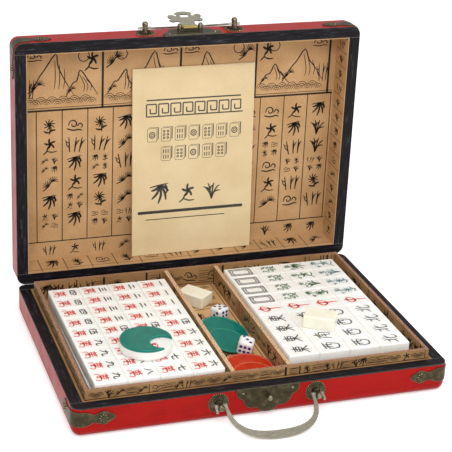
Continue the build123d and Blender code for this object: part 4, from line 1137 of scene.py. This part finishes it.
frames = []
plants = []
blue_plants = []
for row in range(4):
    x, y = block_place(RIGHT_BLOCK_AT, 0, 0, row)
    for dragon_frame in DRAGON_FRAMES:
        frames += rounded_frame(x, y, *dragon_frame)
    for way_x in (-1, 1):
        for way_y in (-1, 1):
            frames += rounded_frame(x + way_x * CORNER_X, y + way_y * CORNER_Y, *CORNER_FRAME)
    for column, batch in ((2, plants), (3, blue_plants)):
        x, y = block_place(RIGHT_BLOCK_AT, 0, column, row)
        main, minor = rng.sample((plum, orchid, daisy, bamboo), 2)
        for picture, wide, tall, dx, dy, lean in (
            (main, 11.5, 12.5, 3.0, 0.6, 15),
            (minor, 7.5, 7.5, -6.5, 1.5, 30),
            (minor, 4.0, 4.0, -4.0, -4.0, 60),
        ):
            turn = 90 + rng.uniform(-lean, lean)
            batch.extend(drawn(picture, wide, tall, x + dx, y + dy, turn))
for words, paint, strokes in (
    ("winds", black_paint, winds),
    ("green_dragons", green_paint, fortunes),
    ("red_dragons", red_paint, centres),
    ("white_dragons", black_paint, frames),
    ("flowers", green_paint, plants),
    ("seasons", blue_paint, blue_plants),
):
    paint_on_tiles(f"right_block_{words}", "right_tiles", paint, strokes)


# ---- wind indicator, discs and dice ----
# Moulded plastic: a white cup with a flat green top that turns on a stem and shows one
# wind through its window, dished discs and counters in two colours, and two dice.


def moulded_plastic(name, colour, paler_tone, edge, roughness):
    """Injection-moulded polystyrene with faint flow marks, fine scratches and paler edges that are a
    painted highlight.
    """
    made, tree, surface, place = new_material(name)
    flow, tone = mottled(tree, place, 7 * MM, 4.0, ((0.3, colour), (0.75, paler_tone)))
    scratch = add_node(tree, "TexNoise", {"Vector": place, "Scale": 1 / (0.8 * MM), "Detail": 2.0})
    ends = {"From Min": 0.3, "From Max": 0.7, "To Min": roughness - 0.05, "To Max": roughness + 0.08}
    rough = add_node(tree, "MapRange", {"Value": scratch, **ends})
    dents = add_node(tree, "Bump", {"Height": flow, "Distance": 0.06 * MM, "Strength": 0.3})
    # Paler along sharp edges, such as the rims of the discs and counters: a painted highlight.
    tone_with_highlight = edge_wear_and_highlight(tree, tone, 1.1 * MM, 0.8, edge)
    set_inputs(surface, {"Base Color": tone_with_highlight, "Roughness": rough, "Normal": dents})
    set_inputs(surface, {"IOR": 1.59, "Specular IOR Level": 0.22})
    return made


# Moulded polystyrene, as it left a polished tool: clear colour with a hard gloss.
white_plastic = moulded_plastic("moulded_white_polystyrene", "#e9e9e4", "#f2f2ee", "#fbfbf8", 0.2)
green_plastic = moulded_plastic("moulded_green_polystyrene", "#006e63", "#007d71", "#58b3a2", 0.16)
red_plastic = moulded_plastic("moulded_red_polystyrene", "#b62607", "#c6330f", "#ef9078", 0.2)
finish_nodes(white_plastic, "indicator_cup", "dice")
finish_nodes(green_plastic, "indicator_top", "green_disc", "green_counter")
finish_nodes(red_plastic, "red_disc", "red_counter")

INDICATOR_AT = middle_of("indicator_cup").xy
WINDS_R = 9.4
cup_winds = []
for quarter, mark in enumerate(("west", "north", "east", "south")):
    turn = -64 + 90 * quarter
    x, y = arc(*INDICATOR_AT, WINDS_R, turn, 0, 1)[0]
    cup_winds += sign(mark, x, y, turn + 70, 7.0, 7.0, 1.1)
cup_top = (0, 0, box_mm("indicator_cup")[1].z)
cup = ("left_tiles", "white_plastic", red_paint, cup_top)
print_on("indicator_cup_winds", *cup, cup_winds, thickness=PAINT_T)

DIE_SIZE = 12.0
PIP_R = 1.25
PIP_T = 0.08 * MM
PIPS = {
    1: ((0, 0),),
    2: ((-2.8, 2.8), (2.8, -2.8)),
    3: ((-3.0, 3.0), (0, 0), (3.0, -3.0)),
    4: ((-2.8, -2.8), (-2.8, 2.8), (2.8, -2.8), (2.8, 2.8)),
    5: ((-2.8, -2.8), (-2.8, 2.8), (0, 0), (2.8, -2.8), (2.8, 2.8)),
    6: ((-2.0, -3.3), (-2.0, 0), (-2.0, 3.3), (2.0, -3.3), (2.0, 0), (2.0, 3.3)),
}
DIE_FACES = ((0, 0, 1), (0, -1, 0), (-1, 0, 0), (1, 0, 0), (0, 1, 0), (0, 0, -1))

# Violet-blue lacquer in the drilled pips, glossy where it pooled.
pip_lacquer = sign_paint("blue_lacquer_pip", "#191a6b", "#2c2f93")


def mark_die(name, base, along, up, marks):
    """Pips on a die's six faces, each as a number and a turn in degrees."""
    up = Vector(up).normalized()
    back = up.cross(Vector(along)).normalized()
    along = back.cross(up)
    turn = Matrix((along, back, up)).transposed()
    middle = Vector(base) + up * DIE_SIZE / 2
    for index, (way, (number, face_turn)) in enumerate(zip(DIE_FACES, marks)):
        out = turn @ Vector(way)
        across = up.cross(out) if way[2] == 0 else along
        pips = moved([arc(x, y, PIP_R, 0, 18, 20) for x, y in PIPS[number]], 0, 0, face_turn)
        at = middle + out * DIE_SIZE / 2
        pip_name = f"{name}_pips_{index}"
        body = ("small_pieces", "white_plastic")
        print_on(pip_name, *body, pip_lacquer, at, pips, across, out.cross(across), PIP_T)


FIRST_AT = (4.6, 23.8, 13.9)
FIRST_WAY = (math.cos(math.radians(28)), math.sin(math.radians(28)), 0)
FIRST_MARKS = ((5, 0), (6, 0), (3, 90), (4, 0), (1, 0), (2, 0))
mark_die("first_die", FIRST_AT, FIRST_WAY, (0, 0, 1), FIRST_MARKS)
SECOND_AT = (5.2, -35.8, 15.85)
SECOND_WAY = (0.874, -0.449, -0.187)
SECOND_UP = (0.127, -0.16, 0.979)
SECOND_MARKS = ((3, 0), (6, 90), (2, 0), (5, 0), (1, 0), (4, 0))
mark_die("second_die", SECOND_AT, SECOND_WAY, SECOND_UP, SECOND_MARKS)


# ---- booklet ----
# A thin folded booklet of uncoated cream kraft paper stands in the lid with its fold to
# the left. Its leaves have sprung a little open at the right. The cover is printed in black.

BOOKLET_W = 106.0
BOOKLET_H = 163.0
BOOKLET_T = 1.5
BOOKLET_LEAN = math.radians(3.3)
SHEET_T = 0.14
SHEET_COLUMNS = 12
SHEET_ROWS = 6
COVER_SPRING = 0.8
INNER_SHEETS = 6
FOLD_INSET = 0.2
FOLD_BULGE = 0.4
FOLD_STEPS = 8
BOOKLET_FOOT = box_mm("booklet")[0] + Vector((0, 0, BOOKLET_T * math.sin(BOOKLET_LEAN)))
booklet_up = Vector((0, math.sin(BOOKLET_LEAN), math.cos(BOOKLET_LEAN)))
booklet_out = Vector((0, -math.cos(BOOKLET_LEAN), math.sin(BOOKLET_LEAN)))

# Uncoated kraft cover paper: cream with fine fibres and a little foxing.
cover_paper = printed_paper("uncoated_cover_paper", "#e2cca2", "#d5bc8f", 0.8)

# The inner leaves: thinner, whiter paper, yellowed at their edges.
leaf_paper = printed_paper("uncoated_leaf_paper", "#efe0bd", "#e2cda2", 0.8)


def sprung(x, y, spring):
    """How far a leaf stands off at x from the fold and y from the foot."""
    return spring * (x / BOOKLET_W) ** 2 * (0.45 + 0.55 * y / BOOKLET_H)


def booklet_point(x, y, rise):
    """A point in metres at x from the fold, y from the foot and a rise off the cover."""
    return (BOOKLET_FOOT + Vector((x, 0, 0)) + booklet_up * y + booklet_out * rise) * MM


def booklet_sheet(corners, faces, base, spring, short):
    """One leaf of the booklet, added to corners and faces; short is how much it is cut back."""
    columns = SHEET_COLUMNS
    rows = SHEET_ROWS
    back = len(corners)
    for level in (0, SHEET_T):
        for j in range(rows + 1):
            y = BOOKLET_H * j / rows - (short if j == rows else 0)
            for i in range(columns + 1):
                x = FOLD_INSET + (BOOKLET_W - FOLD_INSET - short) * i / columns
                corners.append(booklet_point(x, y, base + sprung(x, y, spring) + level))
    wide = columns + 1
    front = back + wide * (rows + 1)
    for j in range(rows):
        for i in range(columns):
            a = j * wide + i
            faces.append([front + a, front + a + 1, front + a + wide + 1, front + a + wide])
            faces.append([back + a + wide, back + a + wide + 1, back + a + 1, back + a])
    rim = list(range(wide))
    rim += [j * wide + columns for j in range(1, rows + 1)]
    rim += [rows * wide + i for i in reversed(range(columns))]
    rim += [j * wide for j in reversed(range(1, rows))]
    for here, after in zip(rim, rim[1:] + rim[:1]):
        faces.append([back + here, back + after, front + after, front + here])


def booklet_piece(name, sheets, material):
    """Several leaves as one mesh; a sheet is (height of its back, spring, cut back)."""
    corners = []
    faces = []
    for base, spring, short in sheets:
        booklet_sheet(corners, faces, base, spring, short)
    return make_piece(name, corners, faces, "booklet", "booklet_paper", material)


cover_sheets = [(-SHEET_T, COVER_SPRING, 0.8), (-BOOKLET_T, 0.0, 0.0)]
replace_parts(booklet_piece("booklet_cover", cover_sheets, cover_paper), "booklet")
inner = []
for number in range(INNER_SHEETS):
    share = (number + 1) / (INNER_SHEETS + 1)
    back = share * (BOOKLET_T - SHEET_T) - BOOKLET_T
    inner.append((back, COVER_SPRING * share * 0.7, 0.25 * (number % 3)))
booklet_piece("booklet_leaves", inner, leaf_paper)

fold_corners = []
fold_faces = []
for y in (0.0, BOOKLET_H):
    for radius in (BOOKLET_T / 2, BOOKLET_T / 2 - SHEET_T):
        for step in range(FOLD_STEPS + 1):
            turn = math.pi * step / FOLD_STEPS
            rise = -BOOKLET_T / 2 + radius * math.cos(turn)
            x = 0.3 - radius * FOLD_BULGE * math.sin(turn)
            fold_corners.append(booklet_point(x, y, rise))
count = FOLD_STEPS + 1
edges = (0, count, 3 * count, 2 * count)
for step in range(FOLD_STEPS):
    for first, second in zip(edges, edges[1:] + edges[:1]):
        fold_faces.append([first + step, first + step + 1, second + step + 1, second + step])
fold_faces.append(list(edges))
fold_faces.append([edge + FOLD_STEPS for edge in reversed(edges)])
make_piece("booklet_fold", fold_corners, fold_faces, "booklet", "booklet_paper", cover_paper)

# Offset ink on the cover: black, thin and slightly grey.
cover_ink = sign_paint("offset_ink_on_cover", "#26231f", "#4a453c")


def fret(x0, x1, y, size, line):
    """A band of square spirals, a traditional border."""
    path = ((0, 0), (0, 1), (0.8, 1), (0.8, 0.25), (0.3, 0.25), (0.3, 0.65))
    strokes = []
    x = x0
    while x + size <= x1:
        for (ax, ay), (bx, by) in zip(path, path[1:]):
            strokes.append(ruled(x + size * ax, y + size * ay, x + size * bx, y + size * by, line))
        strokes.append(ruled(x, y, x + size, y, line))
        x += size
    return strokes


def tile_picture(x, y, kind):
    """A small drawn tile with circles or sticks on its face."""
    strokes = rounded_frame(x, y, 8.0, 11.6, 1.0, 0.35)
    strokes.append(ruled(x + 4.0, y - 4.6, x + 5.2, y - 3.6, 0.3))
    strokes.append(ruled(x + 5.2, y - 3.6, x + 5.2, y + 6.6, 0.9))
    strokes.append(ruled(x + 5.2, y + 6.6, x - 2.6, y + 6.6, 0.3))
    if kind == 0:
        strokes += ring(x, y, 2.4, 0.9)
        strokes += ring(x, y, 1.0, 0.6)
    elif kind == 1:
        for stick_x in (x - 2.0, x, x + 2.0):
            for stick_y in (y - 2.4, y + 2.4):
                strokes.append(ruled(stick_x, stick_y - 1.7, stick_x, stick_y + 1.7, 0.8))
    else:
        for dot_x in (-1.6, 1.6):
            for dot_y in (-2.8, 0.0, 2.8):
                strokes += ring(x + dot_x, y + dot_y, 0.75, 0.7)
    return strokes


PICTURE_STEP = 12.0
cover_art = fret(12.0, 96.0, 122.0, 10.5, 1.1)
cover_art.append(ruled(12.0, 136.0, 94.0, 136.0, 1.2, 12))
for column in range(7):
    cover_art += tile_picture(17.0 + PICTURE_STEP * column, 106.0, (column * 2) % 3)
for column in range(5):
    cover_art += tile_picture(29.0 + PICTURE_STEP * column, 89.0, (column + 1) % 3)
cover_art += drawn(bamboo, 17.0, 18.0, 24.0, 54.0)
cover_art += drawn(plum, 15.0, 16.0, 48.0, 53.0)
cover_art += drawn(orchid, 15.0, 14.0, 70.0, 53.0)
cover_art.append(ruled(5.0, 38.0, 98.0, 38.0, 2.6, 14))
cover_art.append(ruled(12.0, 31.5, 82.0, 31.5, 0.8, 12))
print_on(
    "booklet_cover_print", "booklet", "booklet_paper", cover_ink, BOOKLET_FOOT, cover_art,
    up=booklet_up, bend=lambda x, y: sprung(x, y, COVER_SPRING) + 0.01,
)


# ---- floor, lights and camera ----
# A plain white floor that keeps the case's shadow, one large soft lamp from the left of
# the front, weaker ones from the right and from above, and a product picture's camera.

FLOOR_R = 9.0
floor_mesh = bpy.data.meshes.new("floor")
floor_corners = [(x * FLOOR_R, y * FLOOR_R, -0.2 * MM) for x, y in ((-1, -1), (1, -1), (1, 1), (-1, 1))]
floor_mesh.from_pydata(floor_corners, [], [(0, 1, 2, 3)])
floor = bpy.data.objects.new("floor", floor_mesh)
bpy.context.scene.collection.objects.link(floor)

# Seamless white paper: matt, and lifted to white wherever the camera or a gloss sees it.
paper, tree, surface, _ = new_material("seamless_white_paper")
rays = add_node(tree, "LightPath").outputs
seen = add_node(tree, "Math", {0: rays["Is Camera Ray"], 1: rays["Is Glossy Ray"]}, operation="MAXIMUM")
seen_through = add_node(tree, "Math", {0: seen, 1: rays["Is Transmission Ray"]}, operation="MAXIMUM")
lift = add_node(tree, "Math", {0: seen_through, 1: 0.4}, operation="MULTIPLY")
set_inputs(surface, {"Base Color": linear("#f2f2f2"), "Roughness": 0.9})
set_inputs(surface, {"Emission Color": (1, 1, 1, 1), "Emission Strength": lift})
floor_mesh.materials.append(paper)

world = bpy.data.worlds.new("studio")
bpy.context.scene.world = world
world.use_nodes = True
tree = world.node_tree
tree.nodes.clear()
rays = add_node(tree, "LightPath").outputs
seen = add_node(
    tree, "Math", {0: rays["Is Camera Ray"], 1: rays["Is Transmission Ray"]}, operation="MAXIMUM"
)
strength = add_node(tree, "MapRange", {"Value": seen, "To Min": 0.62, "To Max": 1.0})
sky = add_node(tree, "Background", {"Color": (1, 1, 1, 1), "Strength": strength})
add_node(tree, "OutputWorld", {"Surface": sky})


LAMPS_AIM = Vector((0, 0.02, 0.06))


def soft_lamp(name, place, power, size):
    """A square area lamp aimed at the middle of the case."""
    data = bpy.data.lights.new(name, "AREA")
    data.energy = power
    data.shape = "SQUARE"
    data.size = size
    lamp = bpy.data.objects.new(name, data)
    lamp.location = place
    lamp.rotation_euler = (LAMPS_AIM - Vector(place)).to_track_quat("-Z", "Y").to_euler()
    bpy.context.scene.collection.objects.link(lamp)


soft_lamp("key", (-0.42, -1.15, 1.45), 14.6, 0.9)
soft_lamp("fill", (1.0, -1.2, 0.8), 7.6, 1.2)
soft_lamp("top", (0.15, 0.6, 1.7), 4.2, 0.8)

CAMERA_AT = (-0.33738, -0.94730, 0.53854)
AZIMUTH = -0.311601579
ELEVATION = 0.385371966
ROLL = 0.0361107532
level = math.cos(ELEVATION)
forward = Vector((-math.sin(AZIMUTH) * level, math.cos(AZIMUTH) * level, -math.sin(ELEVATION)))
right = forward.cross(Vector((0, 0, 1))).normalized()
above = right.cross(forward)
camera_x = right * math.cos(ROLL) + above * math.sin(ROLL)
camera_y = -right * math.sin(ROLL) + above * math.cos(ROLL)
camera_data = bpy.data.cameras.new("camera")
camera_data.sensor_width = 36.0
camera_data.lens = 113.35
camera_data.shift_x = 0.0815
camera_data.shift_y = -0.0665
camera = bpy.data.objects.new("camera", camera_data)
turn = Matrix((camera_x, camera_y, -forward)).transposed().to_4x4()
camera.matrix_world = Matrix.Translation(CAMERA_AT) @ turn
bpy.context.scene.collection.objects.link(camera)
bpy.context.scene.camera = camera
bpy.context.scene.view_settings.view_transform = "Standard"
